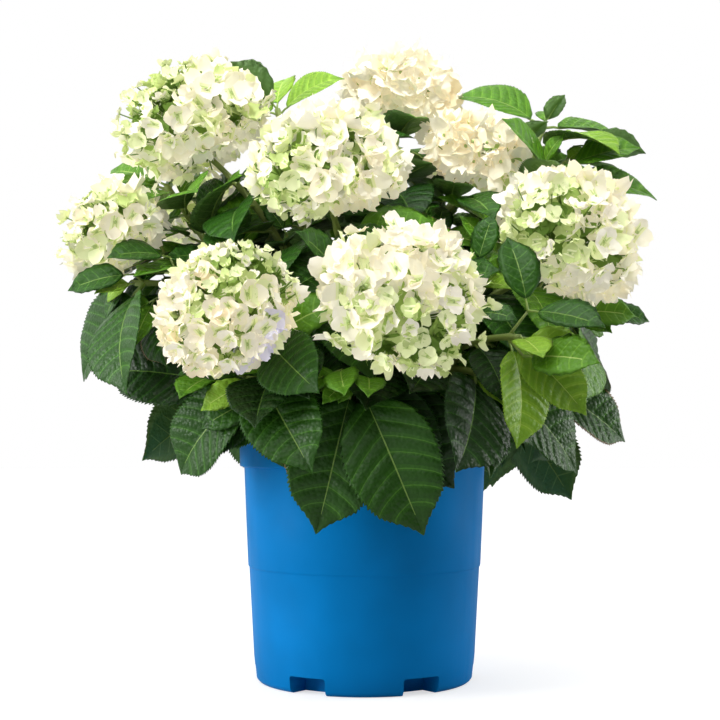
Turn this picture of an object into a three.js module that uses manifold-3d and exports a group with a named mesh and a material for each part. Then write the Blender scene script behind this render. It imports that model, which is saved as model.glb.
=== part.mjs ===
// A mophead hydrangea in a nursery pot: a clump of canes on one woody base, broad toothed leaves
// in crossed pairs, and a domed flower head at the tip of each flowering cane.
// Units are millimetres, +Z is up, and the origin is the centre of the pot's flat underside.
import * as THREE from "three";
import { ConvexHull } from "three/addons/math/ConvexHull.js";
import { mergeVertices } from "three/addons/utils/BufferGeometryUtils.js";
import Module from "manifold-3d";

const wasm = await Module();
wasm.setup();

const UP = new THREE.Vector3(0, 0, 1);
const GAP = 0.3; // clearance between neighbouring solids
const RADIANS = Math.PI / 180;
const at = (x, y, z) => new THREE.Vector3(x, y, z);

// ---- The pot, a thin moulded tub with a stepped rim and notches in its foot ----
const POT = {
  height: 224,
  footRadius: 95.5,
  heelRadius: 102.2, // where the rounded heel meets the wall
  heelHeight: 24,
  stackRadius: 106.6, // the small outward step that stops nested pots from jamming
  stackHeight: 105,
  stackStep: 0.9,
  neckRadius: 111.3, // the wall just under the band
  bandRadius: 115,
  bandBottom: 197,
  bandTop: 217.5,
  lipRadius: 123,
  lipInner: 111.5,
  wall: 2.4,
  floor: 5,
  segments: 32,
};
const NOTCH = { count: 6, halfAngle: 10.3, first: 0, height: 15.5, innerRadius: 80, wall: 2.2 };
const SOIL_TOP = 203;

// ---- The woody base, a short flared stool that the canes leave ----
const STOOL = {
  height: 34,
  footRadius: 40,
  waistRadius: 29,
  topRadius: 31,
  lobes: 5,
  flare: 0.14,
  sides: 15,
};
const CROWN_CENTRE = at(0, 0, 235); // the flower heads face away from here

// ---- Canes and their leaf pairs ----
const CANE = { rootRadius: 4.4, tipRadius: 2.6, sides: 5, reach: 0.42 };
const RINGS = { inner: 9.5, outer: 22.5, basal: 37.5 }; // circles that the canes stand on
const LEAF = {
  rise: 0.7, // the blade's half-width follows u^rise (1 - u)^taper
  taper: 1.02,
  stations: [0.2, 0.5, 0.8],
  slimness: 0.335, // half-width over length
  thickness: 2.2,
  petiole: 0.17, // share of the blade's length
  petioleRadius: 1.9,
  fold: 16 * RADIANS,
  attempts: 14,
};
const GUARD = { thickness: 4.4, extra: 1.4, skipped: 9 };
const HEAD = { florets: 20, low: 0.62, rim: 0.74, dish: 0.93, valley: 0.83, neckDepth: 0.5, stalkRadius: 3 };

// One object with named values for each row of a table.
const rows = (keys, table) =>
  Object.entries(table).map(([name, values]) => ({
    name,
    ...Object.fromEntries(keys.map((key, i) => [key, values[i]])),
  }));

// Flowering canes: head centre, head radius, height of its dome over its radius, ring of the foot,
// leaf pairs, turn of the first pair in degrees, leaf length, and droop of the last leaves in degrees.
const FLOWERING = rows(["head", "radius", "squat", "ring", "pairs", "spin", "leaf", "droop"], {
  upper_left: [[-156, -10, 514], 72, 0.8, "inner", 4, 20, 112, 20],
  upper_middle: [[-32, -92, 456], 72, 0.85, "inner", 4, 75, 108, 20],
  top: [[38, 78, 566], 58, 0.66, "inner", 4, 40, 112, 10],
  upper_right: [[106, 24, 492], 56, 0.68, "inner", 4, 10, 105, 20],
  right: [[178, -72, 398], 70, 0.88, "outer", 4, 90, 118, 30],
  front_middle: [[30, -180, 333], 71, 0.82, "outer", 3, 90, 90, 10],
  front_left: [[-108, -166, 325], 61, 0.92, "outer", 3, 15, 112, 30],
  left: [[-226, -22, 412], 47, 0.9, "outer", 4, 60, 112, 30],
  back_left: [[-152, 132, 436], 61, 0.8, "outer", 4, 10, 115, 30],
  back_top: [[-38, 178, 486], 61, 0.8, "inner", 4, 50, 112, 20],
  back_right: [[176, 132, 432], 60, 0.8, "outer", 4, 80, 115, 30],
  back_low_left: [[-72, 212, 330], 62, 0.85, "outer", 3, 25, 118, 35],
  back_low_right: [[94, 212, 338], 62, 0.85, "outer", 3, 65, 118, 35],
});

// Leafy shoots with no flower: tip, how early it leans out, height of its arch over the chord, share
// that is bare of leaves, then as above, and how much shorter the last leaves are than the first.
const LEAFY = rows(["tip", "lean", "arch", "bare", "pairs", "spin", "leaf", "droop", "youth"], {
  skirt_front: [[-8, -146, 272], 0.34, 44, 0.5, 3, 165, 124, 70, 0],
  skirt_front_left: [[-90, -110, 272], 0.34, 44, 0.5, 3, 0, 102, 45, 0],
  skirt_front_right: [[100, -120, 276], 0.34, 44, 0.5, 3, 0, 114, 45, 0],
  skirt_right: [[160, -30, 272], 0.34, 54, 0.4, 3, 90, 118, 45, 0],
  skirt_left: [[-120, -66, 262], 0.34, 54, 0.4, 3, 90, 114, -10, 0],
  skirt_back_left: [[-124, 96, 270], 0.34, 54, 0.4, 3, 10, 116, 35, 0],
  skirt_back: [[10, 146, 270], 0.34, 50, 0.4, 3, 5, 122, 60, 0],
  skirt_back_right: [[130, 96, 270], 0.34, 54, 0.4, 3, 40, 118, 45, 0],
  tall_left: [[-84, 46, 540], 0.34, 20, 0.45, 4, 0, 92, -28, 0.25],
  tall_right: [[176, 66, 530], 0.8, 30, 0.4, 5, 75, 108, -10, 0.15],
  high_right: [[190, 20, 484], 0.8, 30, 0.45, 4, 75, 96, -25, 0.15],
  far_right: [[190, -30, 336], 0.34, 70, 0.35, 4, 90, 106, 45, 0],
  young_front: [[128, -150, 306], 0.34, 40, 0.4, 3, 70, 96, 60, 0.1],
  high_left: [[-186, 10, 460], 0.7, 30, 0.4, 4, 0, 104, 5, 0.1],
  far_left: [[-206, -46, 362], 0.34, 60, 0.4, 4, 90, 104, 50, 0],
  inner_front_left: [[-30, -92, 346], 0.5, 30, 0.5, 3, 0, 100, 25, 0],
  inner_front_right: [[100, -66, 356], 0.5, 30, 0.5, 3, 0, 104, 25, 0],
});

// ---- Seeded draws: the Park-Miller sequence, evenly spread over -1 to 1 ----
function draws(seed) {
  let state = ((seed * 7919) % 2147483646) + 1;
  const next = () => {
    state = (state * 16807) % 2147483647;
    return (state / 2147483647) * 2 - 1;
  };
  next();
  next();
  return next;
}

// ---- Closed skins and solids ----

// A closed skin over rings of points in order along the piece. Every ring has the same number of
// points, counter-clockwise about the way forward, and a ring of one point closes an end.
function skin(rings) {
  const triangles = [];
  let start = 0;
  rings.slice(0, -1).forEach((ring, i) => {
    const here = ring.length;
    const there = rings[i + 1].length;
    const sides = Math.max(here, there);
    for (let k = 0; k < sides; k += 1) {
      const next = (k + 1) % sides;
      const a = start + (k % here);
      const b = start + (next % here);
      const c = start + here + (k % there);
      const d = start + here + (next % there);
      if (a !== b) triangles.push(a, b, d);
      if (c !== d) triangles.push(a, d, c);
    }
    start += here;
  });
  const first = rings[0].length;
  for (let k = 1; k + 1 < first; k += 1) triangles.push(0, k + 1, k);
  const last = rings.at(-1).length;
  for (let k = 1; k + 1 < last; k += 1) triangles.push(start, start + k, start + k + 1);
  return solidOf(rings.flat(), triangles);
}

// A solid from points and the corners of its outward triangles.
function solidOf(points, triangles) {
  const vertProperties = new Float32Array(points.flatMap((p) => [p.x, p.y, p.z]));
  const triVerts = new Uint32Array(triangles);
  return new wasm.Manifold(new wasm.Mesh({ numProp: 3, vertProperties, triVerts }));
}

// A solid from a closed three.js geometry.
function solidFrom(geometry) {
  const bare = geometry.clone();
  bare.deleteAttribute("normal");
  bare.deleteAttribute("uv");
  const merged = mergeVertices(bare, 1e-3);
  const vertProperties = new Float32Array(merged.attributes.position.array);
  const triVerts = new Uint32Array(merged.index.array);
  return new wasm.Manifold(new wasm.Mesh({ numProp: 3, vertProperties, triVerts }));
}

// A named mesh from a solid.
function meshOf(name, solid, material) {
  const { vertProperties, triVerts } = solid.getMesh();
  const geometry = new THREE.BufferGeometry();
  geometry.setAttribute("position", new THREE.BufferAttribute(new Float32Array(vertProperties), 3));
  geometry.setIndex(new THREE.BufferAttribute(new Uint32Array(triVerts), 1));
  geometry.computeVertexNormals();
  const mesh = new THREE.Mesh(geometry, material);
  mesh.name = name;
  return mesh;
}

// A solid of revolution about +Z from [radius, height] pairs, which run up the outside and close on the axis.
function turned(profile, segments) {
  const geometry = new THREE.LatheGeometry(profile.map(([r, z]) => new THREE.Vector2(r, z)), segments);
  return solidFrom(geometry.rotateX(90 * RADIANS));
}

// A block between two radii, two heights and two angles about +Z.
function wedge(inner, outer, low, high, middle, half) {
  const corner = (radius, angle) => {
    const turn = angle * RADIANS;
    return new THREE.Vector2(radius * Math.cos(turn), radius * Math.sin(turn));
  };
  const outline = new THREE.Shape([
    corner(inner, middle - half),
    corner(outer, middle - half),
    corner(outer, middle + half),
    corner(inner, middle + half),
  ]);
  const geometry = new THREE.ExtrudeGeometry(outline, { depth: high - low, bevelEnabled: false });
  return solidFrom(geometry.translate(0, 0, low));
}

// ---- Pot and soil ----

// The outside of the pot as [radius, height] pairs, from the foot up to the top of the lip.
function potOutside() {
  const heel = [
    [POT.footRadius, 0],
    [POT.footRadius + 3, 1.4],
    [POT.footRadius + 4.8, 4.5],
  ];
  const slopeLow = (POT.stackRadius - POT.heelRadius) / (POT.stackHeight - POT.heelHeight);
  return [
    ...heel,
    [POT.heelRadius, POT.heelHeight],
    [POT.stackRadius, POT.stackHeight],
    [POT.stackRadius + POT.stackStep, POT.stackHeight + POT.stackStep],
    [POT.neckRadius, POT.bandBottom - slopeLow],
    [POT.bandRadius, POT.bandBottom + 0.8],
    [POT.bandRadius + 0.5, POT.bandTop],
    [POT.lipRadius - 0.6, POT.bandTop + 0.4],
    [POT.lipRadius, POT.bandTop + 2],
    [POT.lipRadius - 0.4, POT.height - 1.2],
    [POT.lipRadius - 2, POT.height],
  ];
}

// The inside of the pot, from the floor's centre up, drawn in by `less`.
function potInside(less, top) {
  const { wall, floor } = POT;
  const points = [
    [0, floor + less],
    [POT.footRadius - 2, floor + less],
    [POT.heelRadius - wall - less, POT.heelHeight],
    [POT.stackRadius - wall - less, POT.stackHeight],
    [POT.neckRadius - wall - less, POT.bandBottom - 1],
  ];
  if (top > POT.bandBottom + 10) points.push([POT.lipInner - less, POT.bandBottom + 2.5]);
  const [lastRadius] = points.at(-1);
  return [...points, [lastRadius, top], [0, top]];
}

// One block in each notch of the foot, grown by `more` on its top, inner face and sides.
function notchBlocks(more) {
  const half = NOTCH.halfAngle + more / (POT.footRadius * RADIANS);
  const blocks = Array.from({ length: NOTCH.count }, (_, i) =>
    wedge(NOTCH.innerRadius - more, POT.lipRadius, -5, NOTCH.height + more, NOTCH.first + i * 60, half),
  );
  return wasm.Manifold.union(blocks);
}

function pot() {
  const outside = turned([[0, 0], ...potOutside(), [0, POT.height]], POT.segments);
  const hollow = turned(potInside(0, POT.height + 5), POT.segments);
  const pocketWalls = notchBlocks(NOTCH.wall);
  return outside.subtract(hollow.subtract(pocketWalls)).subtract(notchBlocks(0));
}

function soil() {
  const filling = turned(potInside(GAP, SOIL_TOP), POT.segments);
  return filling.subtract(notchBlocks(NOTCH.wall + GAP));
}

// ---- Woody base ----
function stool() {
  const levels = [
    [0, STOOL.footRadius, 1],
    [0.25, (STOOL.footRadius + STOOL.waistRadius) / 2 - 2, 0.7],
    [0.6, STOOL.waistRadius, 0.35],
    [1, STOOL.topRadius, 0.15],
  ];
  const rings = levels.map(([share, radius, lobed]) =>
    Array.from({ length: STOOL.sides }, (_, k) => {
      const angle = (k / STOOL.sides) * 2 * Math.PI;
      const reach = radius * (1 + STOOL.flare * lobed * Math.cos(STOOL.lobes * angle));
      return at(reach * Math.cos(angle), reach * Math.sin(angle), SOIL_TOP + GAP + share * STOOL.height);
    }),
  );
  return skin(rings);
}
const STOOL_TOP = SOIL_TOP + GAP + STOOL.height;

// ---- Canes ----

// A cane's centreline lies in one upright plane: up and out from its foot, then over to its tip.
function archedStem(foot, tip, lean, arch) {
  const flat = at(tip.x - foot.x, tip.y - foot.y, 0);
  const control = foot.clone().addScaledVector(flat, lean).setZ(foot.z + 0.62 * (tip.z - foot.z) + arch);
  const plane = at(-flat.y, flat.x, 0).normalize();
  return { curve: new THREE.QuadraticBezierCurve3(foot, control, tip), plane, foot };
}

// A tapering limb along the centreline from share `from` to share `to`, cut level at its foot.
function limb({ curve, plane, foot }, from, to, fromRadius, toRadius, sides, steps) {
  const rings = Array.from({ length: steps + 1 }, (_, i) => {
    const share = from + ((to - from) * i) / steps;
    const radius = fromRadius + ((toRadius - fromRadius) * i) / steps;
    const over = curve.getTangent(share).cross(plane);
    return Array.from({ length: sides }, (_, k) => {
      const angle = (k / sides) * 2 * Math.PI;
      const point = curve
        .getPoint(share)
        .addScaledVector(over, -radius * Math.cos(angle))
        .addScaledVector(plane, radius * Math.sin(angle));
      return foot && share === 0 ? point.setZ(foot.z) : point;
    });
  });
  return skin(rings);
}

// ---- Flower heads ----

// A dome's reach from its centre, as a share of its radius, at a given slant from its axis.
function domeReach(cosine, squat) {
  const height = cosine > 0 ? squat : HEAD.low;
  const sine = Math.sqrt(1 - cosine * cosine);
  return 1 / Math.hypot(sine, cosine / height);
}

// A quilted dome: a floret at each point of a Fibonacci sphere, with a raised rim round a dished
// middle, and a valley at each place where three florets meet.
function quiltedDome(centre, axis, radius, squat) {
  const golden = Math.PI * (3 - Math.sqrt(5));
  const turn = new THREE.Quaternion().setFromUnitVectors(UP, axis);
  const middles = Array.from({ length: HEAD.florets }, (_, i) => {
    const z = 1 - (2 * i + 1) / HEAD.florets;
    const flat = Math.sqrt(1 - z * z);
    return at(flat * Math.cos(golden * i), flat * Math.sin(golden * i), z);
  });
  const place = (direction, share) =>
    direction
      .clone()
      .multiplyScalar(radius * share * domeReach(direction.z, squat))
      .applyQuaternion(turn)
      .add(centre);

  const hull = new ConvexHull().setFromPoints(middles);
  const points = middles.map((m) => place(m, HEAD.dish));
  const triangles = [];
  const valleys = new Map();
  const rims = new Map(); // "floret, hull face" to point number
  for (const face of hull.faces) {
    const corners = [face.edge, face.edge.next, face.edge.prev].map((e) => middles.indexOf(e.head().point));
    const middle = corners.reduce((sum, c) => sum.add(middles[c]), at(0, 0, 0)).normalize();
    valleys.set(face, points.push(place(middle, HEAD.valley)) - 1);
    for (const corner of corners) {
      const direction = middles[corner].clone().lerp(middle, HEAD.rim).normalize();
      rims.set(`${corner},${valleys.get(face)}`, points.push(place(direction, 1)) - 1);
    }
  }
  for (const face of hull.faces) {
    let edge = face.edge;
    do {
      // The floret at the edge's head lies between this face and the one across the edge.
      const floret = middles.indexOf(edge.head().point);
      const here = valleys.get(face);
      const there = valleys.get(edge.twin.face);
      const rimHere = rims.get(`${floret},${here}`);
      const rimThere = rims.get(`${floret},${there}`);
      triangles.push(floret, rimHere, rimThere, rimHere, there, rimThere, rimHere, here, there);
      edge = edge.next;
    } while (edge !== face.edge);
  }
  return solidOf(points, triangles);
}

// ---- Leaves ----
const bladeShape = (u) => u ** LEAF.rise * (1 - u) ** LEAF.taper;
const WIDEST = LEAF.rise / (LEAF.rise + LEAF.taper);

// A blade's half-width at share u of its length, as a share of its widest.
const bladeWidth = (u) => bladeShape(u) / bladeShape(WIDEST);

// One leaf with its petiole. The midrib bends evenly away from `up`, and the halves fold up from it.
// Its sections are four-sided: left edge, top of the midrib, right edge, underside.
// A thicker leaf that is `extra` wider and starts `skipped` from the root guards the room round it.
function leafSolid({ root, along, up, side, length, width, bend }, thickness, extra = 0, skipped = 0) {
  const stalk = LEAF.petiole * length;
  const start = root.clone().addScaledVector(along, skipped);
  const heel = root.clone().addScaledVector(along, stalk);
  const stalkRing = (centre, radius) => [
    centre.clone().addScaledVector(side, radius),
    centre.clone().addScaledVector(up, radius),
    centre.clone().addScaledVector(side, -radius),
    centre.clone().addScaledVector(up, -radius),
  ];
  const midrib = (u) =>
    heel
      .clone()
      .addScaledVector(along, (length * Math.sin(bend * u)) / bend)
      .addScaledVector(up, (-length * (1 - Math.cos(bend * u))) / bend);
  const blade = LEAF.stations.map((u) => {
    const normal = up.clone().multiplyScalar(Math.cos(bend * u)).addScaledVector(along, Math.sin(bend * u));
    const half = width * bladeWidth(u) + extra;
    const edge = (sign) =>
      midrib(u)
        .addScaledVector(side, sign * half * Math.cos(LEAF.fold))
        .addScaledVector(normal, half * Math.sin(LEAF.fold));
    return [
      edge(1),
      midrib(u).addScaledVector(normal, thickness / 2),
      edge(-1),
      midrib(u).addScaledVector(normal, -thickness / 2),
    ];
  });
  const petiole = [
    stalkRing(start, LEAF.petioleRadius + extra / 2),
    stalkRing(heel, 0.8 * LEAF.petioleRadius + extra / 2),
  ];
  return skin([...petiole, ...blade, [midrib(1 + extra / length)]]);
}

// The frame of one leaf of a pair. A later attempt swings further round the stem.
function leafPlan(shoot, number, pair, hand, attempt) {
  const draw = draws(number * 1000 + pair * 100 + hand * 50 + attempt);
  const { stem, pairs, spin } = shoot;
  const droop = shoot.droop * (0.4 + (0.6 * (pair + 1)) / pairs) + 8 * draw(); // most near the tip
  const share = shoot.leafFrom + ((shoot.leafTo - shoot.leafFrom) * (pair + 0.5)) / pairs;
  const root = stem.curve.getPoint(share);
  const tangent = stem.curve.getTangent(share);
  const over = tangent.clone().cross(stem.plane);
  const swing = (attempt % 2 ? 1 : -1) * attempt * 6.5 + 7 * draw();
  const turn = (spin + pair * 90 + hand * 180 + swing) * RADIANS;
  const outward = stem.plane.clone().multiplyScalar(Math.cos(turn)).addScaledVector(over, Math.sin(turn));
  const pitch = (64 + 10 * draw()) * RADIANS;
  const radial = at(root.x, root.y, 0).divideScalar(Math.max(150, Math.hypot(root.x, root.y)));
  const along = outward
    .multiplyScalar(Math.sin(pitch))
    .addScaledVector(tangent, Math.cos(pitch))
    .addScaledVector(radial, 0.4);
  const level = Math.hypot(along.x, along.y);
  along.z = THREE.MathUtils.lerp(along.z, -level * Math.tan(droop * RADIANS), 0.7);
  along.normalize();
  const light = at(0, root.y < 70 ? -0.7 : 0.5, 0); // blades turn to the open front or back
  const facing = UP.clone()
    .multiplyScalar(0.6)
    .addScaledVector(tangent, 0.3)
    .addScaledVector(radial, 0.3 + droop / 80)
    .add(light);
  const up = facing
    .addScaledVector(along, -facing.dot(along))
    .normalize()
    .applyAxisAngle(along, 16 * RADIANS * draw());
  const side = along.clone().cross(up).negate();
  const age = 1 - shoot.youth * (pair / (pairs - 1)) ** 2; // younger pairs near the tip are smaller
  const length = shoot.leaf * age * (1 + 0.09 * draw()) * 0.975 ** attempt;
  const width = length * LEAF.slimness * (1 + 0.1 * draw());
  const bend = 0.75 + 0.3 * draw();
  return { root, along, up, side, length, width, bend };
}

// ---- The crossings test: solids already placed, with their boxes ----
const placed = [];

function meets(a, b) {
  return [0, 1, 2].every((k) => a.min[k] <= b.max[k] && b.min[k] <= a.max[k]);
}

function isClear(solid, owner) {
  const box = solid.boundingBox();
  return placed.every(
    (other) => other.owner === owner || !meets(box, other.box) || solid.intersect(other.solid).isEmpty(),
  );
}

function settle(solid, owner) {
  placed.push({ solid, box: solid.boundingBox(), owner });
}

// Leaf pairs along a stem, from the tip down. A leaf that finds no clear place is left out.
function leavesOf(shoot, number) {
  const kept = [];
  for (let pair = shoot.pairs - 1; pair >= 0; pair -= 1) {
    for (const hand of [0, 1]) {
      for (let attempt = 0; attempt < LEAF.attempts; attempt += 1) {
        const plan = leafPlan(shoot, number, pair, hand, attempt);
        const guard = leafSolid(plan, GUARD.thickness, GUARD.extra, GUARD.skipped);
        if (!isClear(guard, shoot.name)) continue;
        const leaf = leafSolid(plan, LEAF.thickness);
        kept.push(leaf);
        settle(guard, `${shoot.name} leaf`);
        settle(leaf, shoot.name);
        break;
      }
    }
  }
  return kept;
}

// ---- Materials ----
const material = (color, roughness) => new THREE.MeshStandardMaterial({ color, roughness, metalness: 0 });
const BLUE_PLASTIC = material("#0a7ac4", 0.42);
const POTTING_MIX = material("#3a2a1f", 0.95);
const GREEN_CANE = material("#6f7d3c", 0.7);
const GREY_BARK = material("#6b5a45", 0.85);
const LEAF_GREEN = material("#2f6b2a", 0.5);
const PETAL_WHITE = material("#eef0d8", 0.6);

// ---- Assembly ----
const plant = new THREE.Group();

function add(name, solid, look) {
  plant.add(meshOf(name, solid, look));
  settle(solid, name);
}

add("pot", pot(), BLUE_PLASTIC);
add("soil", soil(), POTTING_MIX);
add("woody_base", stool(), GREY_BARK);

// Feet on one ring, at the bearings of what they carry, moved apart where they would touch.
function feetOn(ring, targets, height) {
  const radius = RINGS[ring];
  const spacing = (2 * CANE.rootRadius + 1.5) / radius;
  const feet = targets.map(([name, [x, y]]) => ({ name, bearing: Math.atan2(y, x) }));
  feet.sort((a, b) => a.bearing - b.bearing);
  for (let round = 0; round < 200; round += 1) {
    feet.forEach((foot, i) => {
      const next = feet[(i + 1) % feet.length];
      const apart = next.bearing - foot.bearing + (i + 1 === feet.length ? 2 * Math.PI : 0);
      const push = Math.max(0, spacing - apart) / 2;
      foot.bearing -= push;
      next.bearing += push;
    });
  }
  const footAt = (bearing) => at(radius * Math.cos(bearing), radius * Math.sin(bearing), height);
  return feet.map(({ name, bearing }) => [name, footAt(bearing)]);
}

const onRing = (ring) => FLOWERING.filter((cane) => cane.ring === ring).map(({ name, head }) => [name, head]);
const feet = new Map([
  ...feetOn("inner", onRing("inner"), STOOL_TOP + GAP),
  ...feetOn("outer", onRing("outer"), STOOL_TOP + GAP),
  ...feetOn("basal", LEAFY.map(({ name, tip }) => [name, tip]), STOOL_TOP - 8),
]);

const flowering = FLOWERING.map((cane) => {
  const centre = at(...cane.head);
  const axis = centre.clone().sub(CROWN_CENTRE).normalize().addScaledVector(UP, 0.25).normalize();
  const neck = centre.clone().addScaledVector(axis, -cane.radius * HEAD.neckDepth);
  const stem = archedStem(feet.get(cane.name), neck, 0.34, 16);
  const from = CANE.reach + GAP / stem.curve.getLength(); // where the leafy part of the stem begins
  const leafFrom = CANE.reach + 0.04;
  return { ...cane, centre, axis, neck, stem, from, to: 0.9, leafFrom, leafTo: 0.93, youth: 0.22 };
});

const leafy = LEAFY.map((shoot) => {
  const stem = archedStem(feet.get(shoot.name), at(...shoot.tip), shoot.lean, shoot.arch);
  return { ...shoot, stem, from: 0, to: 1, leafFrom: shoot.bare, leafTo: 1.04 };
});

const radiusAt = (share) => CANE.rootRadius + (CANE.tipRadius - CANE.rootRadius) * share;

for (const { name, stem } of flowering) {
  const cane = limb(stem, 0, CANE.reach, radiusAt(0), radiusAt(CANE.reach), CANE.sides, 4);
  add(`cane_${name}`, cane, GREEN_CANE);
}
for (const { name, centre, axis, neck, radius, squat } of flowering) {
  const stalk = { curve: new THREE.LineCurve3(neck, centre), plane: at(-axis.y, axis.x, 0).normalize() };
  const peduncle = limb(stalk, 0, 1, HEAD.stalkRadius, HEAD.stalkRadius, CANE.sides, 1);
  add(`flower_head_${name}`, quiltedDome(centre, axis, radius, squat).add(peduncle), PETAL_WHITE);
}

// Every shoot's stem is placed first, so that no leaf crosses the stem of another.
const shoots = [...leafy, ...flowering];
const stems = shoots.map(({ name, stem, from, to }) => {
  const solid = limb(stem, from, to, radiusAt(from), radiusAt(to), 4, 4);
  settle(solid, name);
  return solid;
});
shoots.forEach((shoot, i) => {
  const leaves = leavesOf(shoot, i + 1);
  plant.add(meshOf(`foliage_${shoot.name}`, wasm.Manifold.union([stems[i], ...leaves]), LEAF_GREEN));
});

export default plant;
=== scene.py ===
# %% [markdown]
# # A mophead hydrangea in its nursery pot
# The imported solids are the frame: they say where every stem, leaf and flower head is. Each cell below
# makes one finer piece on that frame. We work in millimetres and turn to metres only when a mesh is made.

# %% The frame
import math

import bpy
import numpy as np
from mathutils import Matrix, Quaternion, Vector
from mathutils.bvhtree import BVHTree
from mathutils.kdtree import KDTree


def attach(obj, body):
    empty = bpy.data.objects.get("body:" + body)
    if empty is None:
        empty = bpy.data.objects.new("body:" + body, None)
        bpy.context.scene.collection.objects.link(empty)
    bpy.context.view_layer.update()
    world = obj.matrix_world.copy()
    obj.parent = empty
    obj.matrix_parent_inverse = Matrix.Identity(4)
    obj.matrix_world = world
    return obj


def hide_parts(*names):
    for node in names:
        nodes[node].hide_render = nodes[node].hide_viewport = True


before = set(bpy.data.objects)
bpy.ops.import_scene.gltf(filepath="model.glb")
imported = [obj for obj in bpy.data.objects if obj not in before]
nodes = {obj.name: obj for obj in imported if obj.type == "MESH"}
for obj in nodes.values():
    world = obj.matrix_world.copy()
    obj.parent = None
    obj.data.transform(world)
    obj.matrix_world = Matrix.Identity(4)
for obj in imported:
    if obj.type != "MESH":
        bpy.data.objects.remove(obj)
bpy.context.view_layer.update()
MM = 0.001
print(len(nodes), "solids in the frame")

# %% [markdown]
# ## Camera, light and floor
# The plant stands on a white sweep in soft light. One big softbox above the front left is the key, a
# small one with a grid lifts the crown, and a tall one on each side draws the rims of the leaves and the
# pot. A white surround that is brightest overhead fills the shadows, because a lit ceiling keeps the
# depth between the leaves dark. The camera is level with the pot's rim and its picture is shifted up, so
# the pot's sides stay upright.

# %% Camera
scene = bpy.context.scene
camera_data = bpy.data.cameras.new("camera")
camera_data.lens = 68.7
camera_data.sensor_width = 36
camera_data.shift_x = -0.006
camera_data.shift_y = 0.1056
camera = bpy.data.objects.new("camera", camera_data)
camera.location = (0, -1.278, 0.225)
camera.rotation_euler = (math.radians(90), 0, 0)
scene.collection.objects.link(camera)
scene.camera = camera
scene.view_settings.view_transform = "Standard"
print("camera", camera_data.lens, "mm")


# %% Softboxes
def softbox(name, place, aim, width, height, watts, spread=180):
    """A rectangular area light at `place`, in metres, that faces `aim`. A grid narrows it to `spread`."""
    light = bpy.data.lights.new(name, "AREA")
    light.shape = "RECTANGLE"
    light.size = width
    light.size_y = height
    light.energy = watts
    light.spread = math.radians(spread)
    lamp = bpy.data.objects.new(name, light)
    lamp.location = place
    lamp.rotation_euler = (Vector(aim) - Vector(place)).to_track_quat("-Z", "Y").to_euler()
    scene.collection.objects.link(lamp)
    print(name, watts, "W")


softbox("key_softbox", (-0.45, -0.8, 1.85), (0, 0, 0.45), 1.3, 1.3, watts=16.5)
softbox("crown_softbox", (0.25, -1.1, 1.25), (0.02, 0.05, 0.56), 0.35, 0.35, watts=0.55, spread=30)
softbox("left_softbox", (-1.5, -0.45, 0.45), (0, 0, 0.25), 0.5, 0.9, watts=14)
softbox("right_softbox", (1.5, 0.35, 0.6), (0, 0, 0.3), 0.5, 1.0, watts=13)

# %% [markdown]
# ## Colours and materials
# Every colour is written as an sRGB hex value, as a paint chart gives it, and one function turns it to the
# linear light that the renderer adds up. A second function adds a node with its settings and links, a
# third starts a material, and a fourth makes the finish that most of the plant has: a plain colour with a
# fine uneven relief and sheen.

# %% Colour and node helpers
def linear(colour):
    """sRGB to linear: c / 12.92 for a dark channel, ((c + 0.055) / 1.055) ^ 2.4 for the others."""
    channels = [int(colour[i:i + 2], 16) / 255 for i in (1, 3, 5)]
    return [c / 12.92 if c <= 0.04045 else ((c + 0.055) / 1.055) ** 2.4 for c in channels] + [1]


def add_node(tree, kind, inputs, **settings):
    """Adds a node. `inputs` gives each socket a value, or the socket that feeds it."""
    made = tree.nodes.new(kind)
    for name, value in settings.items():
        setattr(made, name, value)
    for name, value in inputs.items():
        if isinstance(value, bpy.types.NodeSocket):
            tree.links.new(value, made.inputs[name])
        else:
            made.inputs[name].default_value = value
    return made


def new_material(name):
    """A material, its tree, its shader, and the socket that gives a place on the piece, in metres."""
    material = bpy.data.materials.new(name)
    material.use_nodes = True
    tree = material.node_tree
    where = add_node(tree, "ShaderNodeTexCoord", {}).outputs["Object"]
    return material, tree, tree.nodes["Principled BSDF"], where


def living(name, colour, roughness, grain, height, cells=0, depth=0, **constants):
    """Plant tissue, and what is as uneven: a plain colour, a bump `height` mm high from a noise of `grain`
    mm, puckers `depth` mm high in cells of `cells` mm, and roughness that drifts by a tenth."""
    material, tree, shader, where = new_material(name)
    shader.inputs["Base Color"].default_value = linear(colour)
    for socket, value in constants.items():
        shader.inputs[socket.replace("_", " ")].default_value = value
    noise = add_node(tree, "ShaderNodeTexNoise", {"Vector": where, "Scale": 1 / (grain * MM), "Detail": 3})
    drift = add_node(tree, "ShaderNodeMapRange", {
        "Value": noise.outputs["Fac"], "From Min": 0.3, "From Max": 0.7,
        "To Min": roughness - 0.1, "To Max": roughness + 0.1})
    tree.links.new(drift.outputs["Result"], shader.inputs["Roughness"])
    bump = add_node(tree, "ShaderNodeBump", {
        "Height": noise.outputs["Fac"], "Strength": 1.0, "Distance": height * MM})
    if cells:
        pucker = add_node(tree, "ShaderNodeTexVoronoi", {"Vector": where, "Scale": 1 / (cells * MM)})
        bump = add_node(tree, "ShaderNodeBump", {
            "Height": pucker.outputs["Distance"], "Strength": 1.0, "Distance": depth * MM,
            "Normal": bump.outputs["Normal"]}, invert=True)
    tree.links.new(bump.outputs["Normal"], shader.inputs["Normal"])
    return material


print("half grey #808080 gives off", round(linear("#808080")[0], 3), "of the light")

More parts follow.
